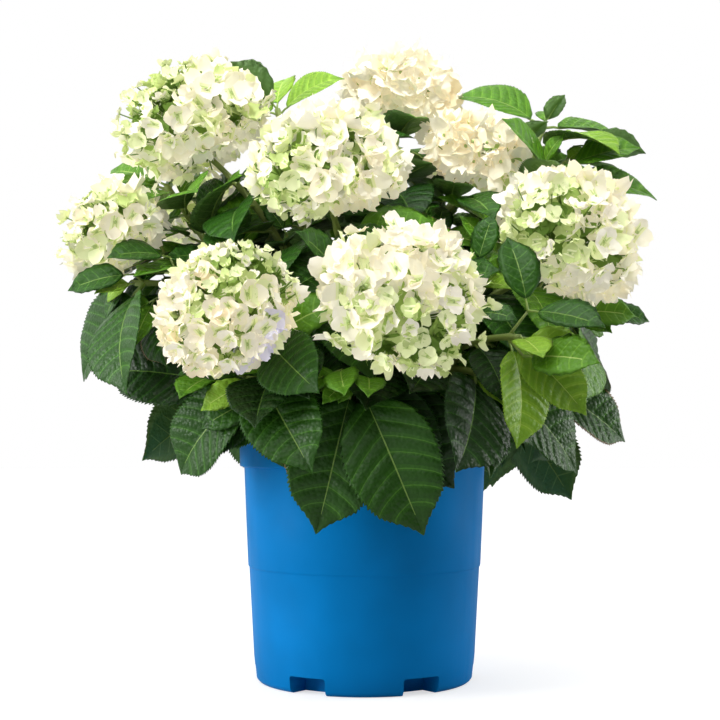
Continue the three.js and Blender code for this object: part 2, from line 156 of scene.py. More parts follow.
# %% Surround
# The studio is white to the eye. Most of its light comes from the ceiling, from the left and behind: the
# strength follows how far a direction leans to the bright side.
BRIGHT_SIDE = (-0.55, 0.35, 0.76)
DARKEST, BRIGHTEST = 0.02, 1.3
world = bpy.data.worlds.new("white_surround")
world.use_nodes = True
scene.world = world
surround = world.node_tree.nodes["Background"]
surround.inputs["Color"].default_value = (1, 1, 1, 1)
direction = add_node(world.node_tree, "ShaderNodeTexCoord", {}).outputs["Generated"]
lean = add_node(world.node_tree, "ShaderNodeVectorMath", {
    0: direction, 1: BRIGHT_SIDE}, operation="DOT_PRODUCT")
ceiling = add_node(world.node_tree, "ShaderNodeMapRange", {
    "Value": lean.outputs["Value"], "From Min": -0.3, "From Max": 1.0,
    "To Min": DARKEST, "To Max": BRIGHTEST})
ray = add_node(world.node_tree, "ShaderNodeLightPath", {})
strength = add_node(world.node_tree, "ShaderNodeMix", {
    "Factor": ray.outputs["Is Camera Ray"], 2: ceiling.outputs["Result"], 3: 1.0})
world.node_tree.links.new(strength.outputs["Result"], surround.inputs["Strength"])
print("surround from", DARKEST, "to", BRIGHTEST)

# %% Floor
# White acrylic, lit from below as on a light table, so that only a soft shadow shows.
FLOOR_GLOW = 0.63
paper = living("white_acrylic", "#b8b8b8", 0.8, 4, 0.02, Emission_Color=(1, 1, 1, 1))
seen = add_node(paper.node_tree, "ShaderNodeLightPath", {})
glow = add_node(paper.node_tree, "ShaderNodeMath", {
    0: seen.outputs["Is Camera Ray"], 1: FLOOR_GLOW}, operation="MULTIPLY")
acrylic = paper.node_tree.nodes["Principled BSDF"]
paper.node_tree.links.new(glow.outputs["Value"], acrylic.inputs["Emission Strength"])
floor_mesh = bpy.data.meshes.new("floor")
floor_mesh.from_pydata([(-6, -4, 0), (6, -4, 0), (6, 8, 0), (-6, 8, 0)], [], [(0, 1, 2, 3)])
floor_mesh.materials.append(paper)
floor = bpy.data.objects.new("floor", floor_mesh)
scene.collection.objects.link(floor)
print("floor", [round(v, 2) for v in floor.dimensions])

# %% [markdown]
# ## Making a piece
# A piece is arrays of points and faces. All faces with the same number of corners are one array, and each
# face has the number of its material. foreach_set hands the arrays to the mesh at once.

# %% Pieces
face_total = 0


def make_piece(name, points, groups, materials, slot, replaced, smooth=180):
    """One mesh object from points in mm and `groups` of (faces, material numbers)."""
    global face_total
    groups = [(np.asarray(f), np.broadcast_to(m, len(f))) for f, m in groups if len(f)]
    sizes = np.concatenate([np.full(len(f), f.shape[1]) for f, _ in groups])
    mesh = bpy.data.meshes.new(name)
    mesh.vertices.add(len(points))
    mesh.vertices.foreach_set("co", (np.asarray(points) * MM).ravel())
    mesh.loops.add(int(sizes.sum()))
    mesh.loops.foreach_set("vertex_index", np.concatenate([f.ravel() for f, _ in groups]))
    mesh.polygons.add(len(sizes))
    mesh.polygons.foreach_set("loop_start", np.cumsum(sizes) - sizes)
    mesh.polygons.foreach_set("material_index", np.concatenate([m for _, m in groups]))
    for material in materials:
        mesh.materials.append(material)
    mesh.update(calc_edges=True)
    mesh.validate()
    mesh.shade_smooth()
    if smooth < 180:
        mesh.set_sharp_from_angle(angle=math.radians(smooth))
    made = bpy.data.objects.new(name, mesh)
    scene.collection.objects.link(made)
    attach(made, "root")
    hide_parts(*replaced)
    triangles = int((sizes - 2).sum())
    face_total += triangles
    print(name, triangles, "triangles")


def grid_faces(rows, columns, closed=False):
    """Quads of a grid numbered row by row. A closed grid joins its last column to its first."""
    j, i = np.meshgrid(np.arange(rows - 1), np.arange(columns if closed else columns - 1), indexing="ij")
    right = (i + 1) % columns
    quads = [j * columns + i, j * columns + right, (j + 1) * columns + right, (j + 1) * columns + i]
    return np.stack(quads, -1).reshape(-1, 4)


def repeat_faces(faces, count, size):
    """The same faces for each of `count` copies of a shape with `size` points."""
    return (faces[None] + (np.arange(count) * size)[:, None, None]).reshape(-1, faces.shape[1])


# %% [markdown]
# ## The growth rule
# The solids were grown by a seeded rule, and the same rule is written here again: canes stand on rings
# round the woody base, arch out to their tips, and carry leaves in crossed pairs. Because each draw comes
# from the Park-Miller sequence with the same seed, every leaf has exactly the same place here.

# %% The shoots
CROWN_CENTRE = Vector((0, 0, 235))
GAP = 0.3
SOIL_TOP = 203
STOOL_HEIGHT = 34
STOOL_TOP = SOIL_TOP + GAP + STOOL_HEIGHT
ROOT_RADIUS, STEM_TAPER, CANE_REACH = 4.4, 1.8, 0.42
RINGS = {"inner": 9.5, "outer": 22.5, "basal": 37.5}


def table(keys, rows):
    """One dictionary of named values for each row."""
    return [{"name": name, **dict(zip(keys, values))} for name, values in rows.items()]


FLOWERING = table(["head", "radius", "squat", "ring", "pairs", "spin", "leaf", "droop"], {
    "upper_left": ((-156, -10, 514), 72, 0.8, "inner", 4, 20, 112, 20),
    "upper_middle": ((-32, -92, 456), 72, 0.85, "inner", 4, 75, 108, 20),
    "top": ((38, 78, 566), 58, 0.66, "inner", 4, 40, 112, 10),
    "upper_right": ((106, 24, 492), 56, 0.68, "inner", 4, 10, 105, 20),
    "right": ((178, -72, 398), 70, 0.88, "outer", 4, 90, 118, 30),
    "front_middle": ((30, -180, 333), 71, 0.82, "outer", 3, 90, 90, 10),
    "front_left": ((-108, -166, 325), 61, 0.92, "outer", 3, 15, 112, 30),
    "left": ((-226, -22, 412), 47, 0.9, "outer", 4, 60, 112, 30),
    "back_left": ((-152, 132, 436), 61, 0.8, "outer", 4, 10, 115, 30),
    "back_top": ((-38, 178, 486), 61, 0.8, "inner", 4, 50, 112, 20),
    "back_right": ((176, 132, 432), 60, 0.8, "outer", 4, 80, 115, 30),
    "back_low_left": ((-72, 212, 330), 62, 0.85, "outer", 3, 25, 118, 35),
    "back_low_right": ((94, 212, 338), 62, 0.85, "outer", 3, 65, 118, 35),
})
LEAFY = table(["tip", "lean", "arch", "bare", "pairs", "spin", "leaf", "droop", "youth"], {
    "skirt_front": ((-8, -146, 272), 0.34, 44, 0.5, 3, 165, 124, 70, 0),
    "skirt_front_left": ((-90, -110, 272), 0.34, 44, 0.5, 3, 0, 102, 45, 0),
    "skirt_front_right": ((100, -120, 276), 0.34, 44, 0.5, 3, 0, 114, 45, 0),
    "skirt_right": ((160, -30, 272), 0.34, 54, 0.4, 3, 90, 118, 45, 0),
    "skirt_left": ((-120, -66, 262), 0.34, 54, 0.4, 3, 90, 114, -10, 0),
    "skirt_back_left": ((-124, 96, 270), 0.34, 54, 0.4, 3, 10, 116, 35, 0),
    "skirt_back": ((10, 146, 270), 0.34, 50, 0.4, 3, 5, 122, 60, 0),
    "skirt_back_right": ((130, 96, 270), 0.34, 54, 0.4, 3, 40, 118, 45, 0),
    "tall_left": ((-84, 46, 540), 0.34, 20, 0.45, 4, 0, 92, -28, 0.25),
    "tall_right": ((176, 66, 530), 0.8, 30, 0.4, 5, 75, 108, -10, 0.15),
    "high_right": ((190, 20, 484), 0.8, 30, 0.45, 4, 75, 96, -25, 0.15),
    "far_right": ((190, -30, 336), 0.34, 70, 0.35, 4, 90, 106, 45, 0),
    "young_front": ((128, -150, 306), 0.34, 40, 0.4, 3, 70, 96, 60, 0.1),
    "high_left": ((-186, 10, 460), 0.7, 30, 0.4, 4, 0, 104, 5, 0.1),
    "far_left": ((-206, -46, 362), 0.34, 60, 0.4, 4, 90, 104, 50, 0),
    "inner_front_left": ((-30, -92, 346), 0.5, 30, 0.5, 3, 0, 100, 25, 0),
    "inner_front_right": ((100, -66, 356), 0.5, 30, 0.5, 3, 0, 104, 25, 0),
})
print(len(FLOWERING), "flowering and", len(LEAFY), "leafy shoots")


# %% Draws and feet
FACTOR, MODULUS = 16807, 2147483647
FOOT_GAP, BASAL_DROP = 1.5, 8


def draws(seed):
    """The Park-Miller sequence, state = state * 16807 mod (2^31 - 1), over -1 to 1, from its third draw."""
    state = seed * 7919 % (MODULUS - 1) + 1

    def draw():
        """The next draw."""
        nonlocal state
        state = state * FACTOR % MODULUS
        return state / MODULUS * 2 - 1

    draw()
    draw()
    return draw


def feet_on(ring, targets, height):
    """Feet on one ring, at the bearings of what they carry, moved apart where they would touch."""
    radius = RINGS[ring]
    spacing = (2 * ROOT_RADIUS + FOOT_GAP) / radius
    placed = sorted(([name, math.atan2(place[1], place[0])] for name, place in targets),
                    key=lambda foot: foot[1])
    for _ in range(200):
        for i, foot in enumerate(placed):
            after = placed[(i + 1) % len(placed)]
            apart = after[1] - foot[1] + (2 * math.pi if i + 1 == len(placed) else 0)
            push = max(0, spacing - apart) / 2
            foot[1] -= push
            after[1] += push
    return {name: Vector((radius * math.cos(b), radius * math.sin(b), height)) for name, b in placed}


feet = {}
for ring in ("inner", "outer"):
    carried = [(cane["name"], cane["head"]) for cane in FLOWERING if cane["ring"] == ring]
    feet.update(feet_on(ring, carried, STOOL_TOP + GAP))
feet.update(feet_on("basal", [(shoot["name"], shoot["tip"]) for shoot in LEAFY], STOOL_TOP - BASAL_DROP))
print(len(feet), "feet round the woody base")


# %% Stems
def arched_stem(foot, tip, lean, arch):
    """A quadratic curve in one upright plane, from the foot up and out, then over to the tip. Its middle
    point lies `lean` of the way out, and 0.62 of the way up and `arch` mm more."""
    flat = Vector((tip.x - foot.x, tip.y - foot.y, 0))
    control = foot + flat * lean
    control.z = foot.z + 0.62 * (tip.z - foot.z) + arch
    return {"curve": (foot, control, tip), "plane": Vector((-flat.y, flat.x, 0)).normalized()}


def point_on(stem, share):
    """A point on the curve a, b, c at share s: (1 - s)^2 a + 2 s (1 - s) b + s^2 c."""
    a, b, c = stem["curve"]
    return a * (1 - share) ** 2 + b * (2 * share * (1 - share)) + c * share ** 2


def tangent_on(stem, share):
    """The direction of the curve's derivative."""
    a, b, c = stem["curve"]
    return ((b - a) * (1 - share) + (c - b) * share).normalized()


shoots = []
for shoot in LEAFY:
    stem = arched_stem(feet[shoot["name"]], Vector(shoot["tip"]), shoot["lean"], shoot["arch"])
    shoots.append({**shoot, "stem": stem, "leaf_from": shoot["bare"], "leaf_to": 1.04})
for cane in FLOWERING:
    centre = Vector(cane["head"])
    axis = ((centre - CROWN_CENTRE).normalized() + Vector((0, 0, 0.25))).normalized()
    neck = centre - axis * cane["radius"] * 0.5
    stem = arched_stem(feet[cane["name"]], neck, 0.34, 16)
    shoots.append({**cane, "centre": centre, "axis": axis, "neck": neck, "stem": stem,
                   "leaf_from": CANE_REACH + 0.04, "leaf_to": 0.93, "youth": 0.22})
print(len(shoots), "stems")


# %% Leaf plans
LEAF_PITCH, SWING_STEP, LEAF_RATIO = 64, 6.5, 0.335
STALK_SHARE = 0.17
TRIES, SAME_PLACE = 14, 0.6


def knot_share(shoot, pair):
    """How far along its stem a pair of leaves sits."""
    return shoot["leaf_from"] + (shoot["leaf_to"] - shoot["leaf_from"]) * (pair + 0.5) / shoot["pairs"]


def round_stem(side, over, turn):
    """The direction at `turn` radians round a stem: side cos t + over sin t."""
    return side * math.cos(turn) + over * math.sin(turn)


def square_to(facing, along):
    """What is left of `facing` across `along`: f - a (f . a), over its length."""
    return (facing - along * facing.dot(along)).normalized()


def leaf_plan(shoot, number, pair, hand, attempt):
    """Root, axes and size of one leaf of a pair. It stands 64 degrees off the stem, sinks most of the way
    to its droop, and turns its face to the light. A later attempt swings further round and is shorter."""
    draw = draws(number * 1000 + pair * 100 + hand * 50 + attempt)
    stem, pairs = shoot["stem"], shoot["pairs"]
    droop = shoot["droop"] * (0.4 + 0.6 * (pair + 1) / pairs) + 8 * draw()
    share = knot_share(shoot, pair)
    root, tangent = point_on(stem, share), tangent_on(stem, share)
    swing = (1 if attempt % 2 else -1) * attempt * SWING_STEP + 7 * draw()
    turn = math.radians(shoot["spin"] + pair * 90 + hand * 180 + swing)
    outward = round_stem(stem["plane"], tangent.cross(stem["plane"]), turn)
    pitch = math.radians(LEAF_PITCH + 10 * draw())
    radial = Vector((root.x, root.y, 0)) / max(150, math.hypot(root.x, root.y))
    along = outward * math.sin(pitch) + tangent * math.cos(pitch) + radial * 0.4
    level = math.hypot(along.x, along.y)
    along.z += 0.7 * (-level * math.tan(math.radians(droop)) - along.z)
    along.normalize()
    light = Vector((0, -0.7 if root.y < 70 else 0.5, 0))
    facing = Vector((0, 0, 0.6)) + tangent * 0.3 + radial * (0.3 + droop / 80) + light
    up = square_to(facing, along)
    up.rotate(Quaternion(along, math.radians(16) * draw()))
    age = 1 - shoot["youth"] * (pair / (pairs - 1)) ** 2
    length = shoot["leaf"] * age * (1 + 0.09 * draw()) * 0.975 ** attempt
    width = length * LEAF_RATIO * (1 + 0.1 * draw())
    return {"root": root, "along": along, "up": up, "side": up.cross(along), "length": length,
            "width": width, "bend": 0.75 + 0.3 * draw()}


def midrib_end(plan):
    """The leaf's tip: its midrib bends evenly away from `up` by `bend` radians over its length."""
    length, bend = plan["length"], plan["bend"]
    heel = plan["root"] + plan["along"] * STALK_SHARE * length
    return (heel + plan["along"] * (length * math.sin(bend) / bend)
            - plan["up"] * (length * (1 - math.cos(bend)) / bend))


# %% The leaves that the solids kept
# A leaf is there when a corner of its solid lies at its tip.
leaves = []
for number, shoot in enumerate(shoots, 1):
    corners = nodes[f"foliage_{shoot['name']}"].data.vertices
    tree = KDTree(len(corners))
    for i, corner in enumerate(corners):
        tree.insert(corner.co / MM, i)
    tree.balance()
    for pair in reversed(range(shoot["pairs"])):
        for hand in (0, 1):
            for attempt in range(TRIES):
                plan = leaf_plan(shoot, number, pair, hand, attempt)
                if tree.find(midrib_end(plan))[2] < SAME_PLACE:
                    leaves.append({**plan, "shoot": shoot["name"], "age": (pair + 1) / shoot["pairs"]})
                    break
print(len(leaves), "leaves kept by the rule")

# %% [markdown]
# ## Leaves
# A hydrangea leaf is a broad oval that narrows to a drawn-out tip. Its edge is toothed all round, about
# seven pairs of side veins sweep forward from a pale midrib, and the blade puffs up between them. A leaf
# could be a flat card with a picture of veins, but then its edge and its quilting would vanish from the
# side. So each leaf is a closed skin: an upper face whose rows of points follow the side veins, so that
# every vein is a strip of its own, and a plainer underside that shares its edge.

# %% Rows and columns of a blade
def blade_template(veins, vein_gap, tooth, last_gap, last_tooth, columns, under_columns):
    """Rows leave the midrib at `starts`. A gap between veins has rows at `vein_gap`, each ends in a tooth
    (1) or a notch (0), and the first and last of them lie close to their veins, as the vein's strip."""
    pitch = 0.7 / (veins - 1)
    firsts = 0.06 + pitch * np.arange(veins)
    starts = np.concatenate([[0.004, 0.03, firsts[0] - pitch * (1 - vein_gap[-1])],
                             (firsts[:-1, None] + pitch * vein_gap).ravel(), 0.76 + 0.24 * last_gap])
    gap = np.concatenate([[0.5, 0.5, vein_gap[-1]], np.tile(vein_gap, veins - 1), last_gap])
    teeth = np.concatenate([[0, 0, 1], np.tile(tooth, veins - 1), last_tooth])
    vein = np.diff(gap) < -0.8
    gap_number = np.concatenate([[0, 0, 0], np.repeat(np.arange(veins - 1), len(vein_gap)),
                                 np.full(len(last_gap), veins)])
    return {"starts": starts, "gap": gap, "teeth": teeth, "is_vein": vein, "gap_number": gap_number,
            "columns": columns, "under": under_columns}


FULL = blade_template(
    7, np.array([0.035, 0.14, 0.36, 0.46, 0.66, 0.76, 0.965]), np.array([1.0, 0, 1, 0, 1, 0, 1]),
    np.array([0.02, 0.12, 0.26, 0.36, 0.52, 0.62, 0.82, 0.985]), np.array([1.0, 0, 1, 0, 1, 0, 0.5, 0]),
    np.array([-1, -0.94, -0.76, -0.5, -0.22, -0.05, -0.015, 0.015, 0.05, 0.22, 0.5, 0.76, 0.94, 1]),
    np.array([-0.6, 0, 0.6]))
SMALL = blade_template(
    5, np.array([0.06, 0.5, 0.94]), np.array([1.0, 0, 1]), np.array([0.05, 0.3, 0.65, 0.97]),
    np.array([1.0, 0, 0.7, 0]), np.array([-1, -0.7, -0.3, -0.03, 0.03, 0.3, 0.7, 1]), np.array([0.0]))
print(len(FULL["starts"]), "rows,", int(FULL["is_vein"].sum()), "pairs of side veins")


# %% Blade shape
OUTLINE_PEAK = 0.3559
FOLD_SINE, FOLD_COSINE = 0.276, 0.961
USUAL_LENGTH = 110


def blade_outline(u):
    """Half-width over its widest: u^0.68 (1 - u)^0.82, over its peak, and narrowed to a drip tip."""
    shape = np.clip(u, 0, 1) ** 0.68 * np.clip(1 - u, 0, 1) ** 0.82
    drip = np.clip((u - 0.74) / 0.26, 0, 1)
    return shape / OUTLINE_PEAK * (1 - 0.6 * drip * drip * (3 - 2 * drip))


def blade_points(leaf, template, across, under):
    """Points of many blades at once, as (leaf, row, column). A row leaves the midrib at r and sweeps
    forward by 0.34 (1 - r) r / (r + 0.05) |v|^1.25, as a side vein does. The midrib bends evenly and
    sways, the halves fold up by 16 degrees and flatten outwards, the edge waves, and each quilt puffs up
    between veins."""
    def each(key):
        """One value for each leaf, the same in all its rows and columns."""
        return leaf[key][:, None, None]

    r, v = template["starts"][None, :, None], across[None, None, :]
    tooth = template["teeth"][None, :, None] * (0 if under else 1)
    wide, size = np.abs(v), each("length")
    u = r + 0.34 * (1 - r) * r / (r + 0.05) * wide ** 1.25
    edge = wide ** 16
    u = np.clip(u + 0.012 * tooth * edge, 0, 0.999)
    room = np.sin(np.pi * np.clip(u, 0, 1))
    half = (each("width") * blade_outline(u)
            + 2.3 * (tooth - 0.45) * edge * room ** 0.5 * size / USUAL_LENGTH)
    angle = each("bend") * u
    forward = STALK_SHARE * size + size * np.sin(angle) / each("bend")
    down = -size * (1 - np.cos(angle)) / each("bend")
    puff = (1 - np.abs(2 * template["gap"] - 1) ** 1.7)[None, :, None] * wide ** 0.4 * (1 - wide ** 6)
    crumple = 1 + 0.4 * np.sin(17 * wide + 2.3 * template["gap_number"][None, :, None] + each("phase"))
    wave = each("wave") * np.sin(each("phase") + 8 * u + 1.5 * np.sign(v)) * wide ** 2 * room
    lift = half * FOLD_SINE * (wide - 0.3 * wide ** 2) + wave
    puffed = puff * crumple * size / USUAL_LENGTH * room ** 0.4
    lift = lift + (0.9 * puffed - 0.8 * (1 - wide ** 4) if under else 2.1 * puffed)
    sway = each("sway") * np.sin(np.pi * 0.5 * u) ** 2
    place = leaf["root"][:, None, None, :]
    along, up, side = (leaf[k][:, None, None, :] for k in ("along", "up", "side"))
    normal = up * np.cos(angle)[..., None] + along * np.sin(angle)[..., None]
    return (place + along * forward[..., None] + up * down[..., None]
            + side * (np.sign(v) * wide * half * FOLD_COSINE + sway)[..., None] + normal * lift[..., None])


# %% Leaf stalk and midrib
RIB_U = np.array([-0.17, -0.12, -0.04, 0.03, 0.15, 0.3, 0.45, 0.6, 0.75, 0.88])
RIB_RADIUS = np.array([2.6, 1.9, 1.7, 1.5, 1.1, 0.9, 0.75, 0.6, 0.45, 0.2])
RIB_SIDES = 5


def circle(sides):
    """The bearings of `sides` points spread evenly round a circle."""
    return np.arange(sides) * 2 * np.pi / sides


def directions(side, over, angle):
    """Directions round an axis, side cos a + over sin a, for each angle a."""
    return side[..., None, :] * np.cos(angle)[..., None] + over[..., None, :] * np.sin(angle)[..., None]


def rib_points(leaf):
    """The stalk runs straight from the root, then on below the blade as its raised midrib. It is a tube
    whose rings are at the shares `RIB_U` of the blade's length, those of the stalk below nought."""
    size, bend = leaf["length"][:, None], leaf["bend"][:, None]
    along, up, side = (leaf[key][:, None] for key in ("along", "up", "side"))
    u = RIB_U[None]
    angle = bend * np.clip(u, 0, 1)
    forward = STALK_SHARE * size + np.where(u < 0, u * size, size * np.sin(angle) / bend)
    thick = RIB_RADIUS[None] * np.clip(size / USUAL_LENGTH, 0.35, 1.1)
    down = -size * (1 - np.cos(angle)) / bend - np.where(u > 0, thick + 0.4, 0)
    normal = up * np.cos(angle)[..., None] + along * np.sin(angle)[..., None]
    sway = leaf["sway"][:, None] * np.sin(np.pi * 0.5 * np.clip(u, 0, 1)) ** 2
    centre = (leaf["root"][:, None] + along * forward[..., None] + up * down[..., None]
              + side * sway[..., None])
    return centre[:, :, None] + thick[..., None, None] * directions(side, normal, circle(RIB_SIDES))


# %% Leaf faces
# Each tint has four materials: blade, the middle of each quilt, side vein, midrib. The rest are shared.
TINTS = 4
DEEP, MID, FRESH, YOUNG = range(TINTS)
BLADE, QUILT, SIDE_VEIN, MIDRIB = range(4)
UNDERSIDE, UNDER_VEIN, STALK, RED_EDGE = range(4 * TINTS, 4 * TINTS + 4)


def blade_faces(template):
    """Quads of the upper face and the underside, and a closing face at each end."""
    rows, wide, narrow = len(template["starts"]), len(template["columns"]), len(template["under"])
    upper = grid_faces(rows, wide)[:, [0, 3, 2, 1]]
    low = rows * wide + np.arange(rows)[:, None] * narrow + np.arange(narrow)
    edge = np.arange(rows)[:, None] * wide
    strip = np.concatenate([edge, low, edge + wide - 1], axis=1)
    lower = np.stack([strip[:-1, :-1], strip[:-1, 1:], strip[1:, 1:], strip[1:, :-1]], -1).reshape(-1, 4)
    first = np.concatenate([np.arange(wide), low[0][::-1]])
    last = np.concatenate([(rows - 1) * wide + np.arange(wide), low[-1][::-1]])[::-1]
    return upper, lower, np.stack([first, last])


def blade_looks(template):
    """Which part of the leaf each quad is: the strips along side veins, the midrib and the quilts."""
    rows, wide = len(template["starts"]), len(template["columns"])
    look = np.full((rows - 1, wide - 1), BLADE)
    middle = (template["gap"][:-1] > 0.1) & (template["gap"][1:] < 0.9)
    look[middle, 1:-1] = QUILT
    look[template["is_vein"], 1:-1] = SIDE_VEIN
    if wide % 2 == 0:
        look[:-4, wide // 2 - 1] = MIDRIB
    under = np.full((rows - 1, len(template["under"]) + 1), UNDERSIDE)
    under[template["is_vein"], 1:-1] = UNDER_VEIN
    return look, under


def end_caps(rows, sides):
    """One face over each end of a tube, the first turned round so that both point outwards."""
    return np.stack([np.arange(sides)[::-1], (rows - 1) * sides + np.arange(sides)])


rib_faces = grid_faces(len(RIB_U), RIB_SIDES, closed=True)
rib_ends = end_caps(len(RIB_U), RIB_SIDES)
print(sum(map(len, blade_faces(FULL))) + len(rib_faces) + len(rib_ends), "faces on a full leaf")

# %% [markdown]
# The blade is a waxy cuticle over soft tissue: it gives a broad satin highlight that breaks up on the
# puckers. The tints run from the dark green of old leaves to the yellow green of unfolding ones, and
# each leaf takes one tint whole.

# %% Leaf materials
LEAF_COLOURS = {
    "deep": ("#1b3d0d", "#16340a", "#305a18", "#5f813a"),
    "mid": ("#2d5815", "#254c11", "#457423", "#779748"),
    "fresh_and_lit": ("#588a1e", "#4d7e1a", "#70a02e", "#a2bf60"),
    "young": ("#84ae30", "#77a22a", "#9abe44", "#bad36a"),
}
leaf_materials = []
for tint, colours in LEAF_COLOURS.items():
    for part, colour in zip(("blade", "quilt", "side_vein", "midrib"), colours):
        leaf_materials.append(living(f"leaf_{part}_{tint}", colour, 0.42, 1.4, 0.1, 3.6, 0.7,
                                     Specular_IOR_Level=0.25))
leaf_materials += [
    living("leaf_underside", "#557a38", 0.62, 2, 0.1, 3.2, 0.5),
    living("leaf_underside_vein", "#7d9c55", 0.6, 2, 0.1),
    living("leaf_stalk", "#86a04e", 0.5, 2, 0.1),
    living("leaf_red_edge", "#6f5a2e", 0.5, 2, 0.1),
]
print(len(leaf_materials), "leaf materials")

# %% Joining leaves
LEAF_KEYS = ("root", "along", "up", "side", "length", "width", "bend")
RED_SHARE = 0.15


def stack_leaves(plans, rng):
    """The plans' values as arrays, with a seeded wave for each edge and sway for each midrib."""
    leaf = {key: np.array([plan[key] for plan in plans], float) for key in LEAF_KEYS}
    leaf["wave"] = rng.uniform(0.6, 3.2, len(plans)) * leaf["length"] / USUAL_LENGTH
    leaf["phase"] = rng.uniform(0, 2 * np.pi, len(plans))
    leaf["sway"] = rng.uniform(-0.05, 0.05, len(plans)) * leaf["length"]
    return leaf


def leaf_piece(name, plans, template, replaced, seed):
    """Many leaves joined in one mesh: blades, then stalks with their midribs."""
    rng = np.random.default_rng(seed)
    leaf = stack_leaves(plans, rng)
    count = len(plans)
    upper = blade_points(leaf, template, template["columns"], False)
    under = blade_points(leaf, template, template["under"], True)
    blades = np.concatenate([upper.reshape(count, -1, 3), under.reshape(count, -1, 3)], axis=1)
    ribs = rib_points(leaf).reshape(count, -1, 3)
    size, rib_size, rib_start = blades.shape[1], ribs.shape[1], blades.shape[0] * blades.shape[1]
    upper_faces, lower_faces, end_faces = blade_faces(template)
    look, under_look = blade_looks(template)
    tints = np.array([plan["tint"] for plan in plans])
    looks = look.ravel()[None] + 4 * tints[:, None]
    margin = np.zeros(look.shape, bool)
    margin[:, [0, -1]] = True
    red = rng.random(count) < (RED_SHARE if template is FULL else 0)
    looks = np.where(red[:, None] & margin.ravel()[None], RED_EDGE, looks)
    groups = [
        (repeat_faces(upper_faces, count, size), looks.ravel()),
        (repeat_faces(lower_faces, count, size), np.tile(under_look.ravel(), count)),
        (repeat_faces(end_faces, count, size), UNDERSIDE),
        (rib_start + repeat_faces(rib_faces, count, rib_size), STALK),
        (rib_start + repeat_faces(rib_ends, count, rib_size), STALK),
    ]
    points = np.concatenate([blades.reshape(-1, 3), ribs.reshape(-1, 3)])
    make_piece(name, points, groups, leaf_materials, "leaf", replaced)


# %% Tints
# Younger leaves are fresher. Higher leaves, and those of the tall and high shoots, which stand in the light,
# get fresher tints too: that is painted light.
tint_rng = np.random.default_rng(5)
for leaf in leaves:
    fresh_and_lit = 0.25 * leaf["age"] + (0.6 if leaf["shoot"].startswith(("tall", "high")) else 0)
    fresh_and_lit += 0.25 * max(0, leaf["root"].z - 300) / 250 + tint_rng.uniform(-0.25, 0.35)
    leaf["tint"] = int(np.clip(round(3 * fresh_and_lit), DEEP, FRESH))
    if leaf["shoot"] in ("young_front", "tall_left") and leaf["age"] == 1:
        leaf["tint"] = YOUNG
    # The top sprays on the right take the palest tints: painted light where the crown is lit.
    if leaf["shoot"] in ("tall_right", "high_right"):
        leaf["tint"] = YOUNG if tint_rng.random() < 0.4 else FRESH
print([sum(leaf["tint"] == t for leaf in leaves) for t in range(TINTS)], "leaves of each tint")

# %% Leaf pieces
ZONES = {
    "leaves_skirt": [s["name"] for s in shoots if s["name"].startswith("skirt")],
    "leaves_front": ["young_front", "inner_front_left", "inner_front_right", "front_middle", "front_left",
                     "left", "right", "far_left", "far_right", "upper_middle"],
}
named = sum(ZONES.values(), [])
ZONES["leaves_upper"] = [s["name"] for s in shoots if s["name"] not in named]
for seed, (zone, members) in enumerate(ZONES.items()):
    plans = [leaf for leaf in leaves if leaf["shoot"] in members]
    leaf_piece(zone, plans, FULL, [f"foliage_{m}" for m in members], seed)

# %% [markdown]
# ## Side twigs and young leaves
# The rule is carried on to what is finer than the solids. A short twig grows in the corner between a leaf
# and its stem and ends in a small pair, a leafy shoot ends in two unfolding leaves, and pairs stand like
# collars on the stem below each head and along its bare part inside the crown. More full leaves would be
# simpler, but they would cut through each other. So each small leaf is tried against all that is already
# there, turned a little, and left out where it finds no clear place.

# %% What a small leaf must miss
HEAD_SHARE, LOWEST_LEAF, HIGHEST_TWIG = 0.83, 150, 505
obstacle_points, obstacle_faces, start = [], [], 0
for node in nodes.values():
    mesh = node.data
    obstacle_points += [corner.co / MM for corner in mesh.vertices]
    obstacle_faces += [tuple(i + start for i in polygon.vertices) for polygon in mesh.polygons]
    start += len(mesh.vertices)
obstacles = [BVHTree.FromPolygons(obstacle_points, obstacle_faces)]
SKETCH = {"starts": np.array([0.02, 0.25, 0.5, 0.75, 0.97]), "gap": np.zeros(5), "teeth": np.ones(5),
          "gap_number": np.zeros(5)}
sketch_faces = grid_faces(5, 5).tolist()
print(len(obstacle_faces), "faces to miss")


def sketch(plan):
    """A blade of 16 faces as a search tree, and its points."""
    leaf = {key: np.array([plan[key]], float) for key in LEAF_KEYS}
    leaf.update(wave=np.zeros(1), phase=np.zeros(1), sway=np.zeros(1))
    points = blade_points(leaf, SKETCH, np.array([-1, -0.5, 0, 0.5, 1.0]), False).reshape(-1, 3)
    return BVHTree.FromPolygons(points.tolist(), sketch_faces), points


def in_a_head(points):
    """Whether any point is inside a flower head's ball, less a sixth."""
    return any(((points - np.array(s["centre"])) ** 2).sum(1).min() < (HEAD_SHARE * s["radius"]) ** 2
               for s in shoots if "head" in s)


# %% Growing small leaves
def small_leaf(root, tangent, bearing, pitch, length, draw):
    """A leaf that leaves `root` at `pitch` degrees from the twig's tangent, turned by `bearing` round it."""
    plane = tangent.cross(Vector((0, 0, 1))).normalized()
    outward = round_stem(plane, tangent.cross(plane), bearing)
    along = outward * math.sin(math.radians(pitch)) + tangent * math.cos(math.radians(pitch))
    along.z -= 0.12 * draw() + 0.1
    along.normalize()
    light = Vector((-0.1, -0.95, 0.6) if root.y < 40 else (0, 0.5, 0.7))
    up = square_to(light + tangent * 0.3, along)
    return {"root": root, "along": along, "up": up, "side": up.cross(along), "length": length,
            "width": length * (0.31 + 0.03 * draw()), "bend": 0.6 + 0.3 * draw()}


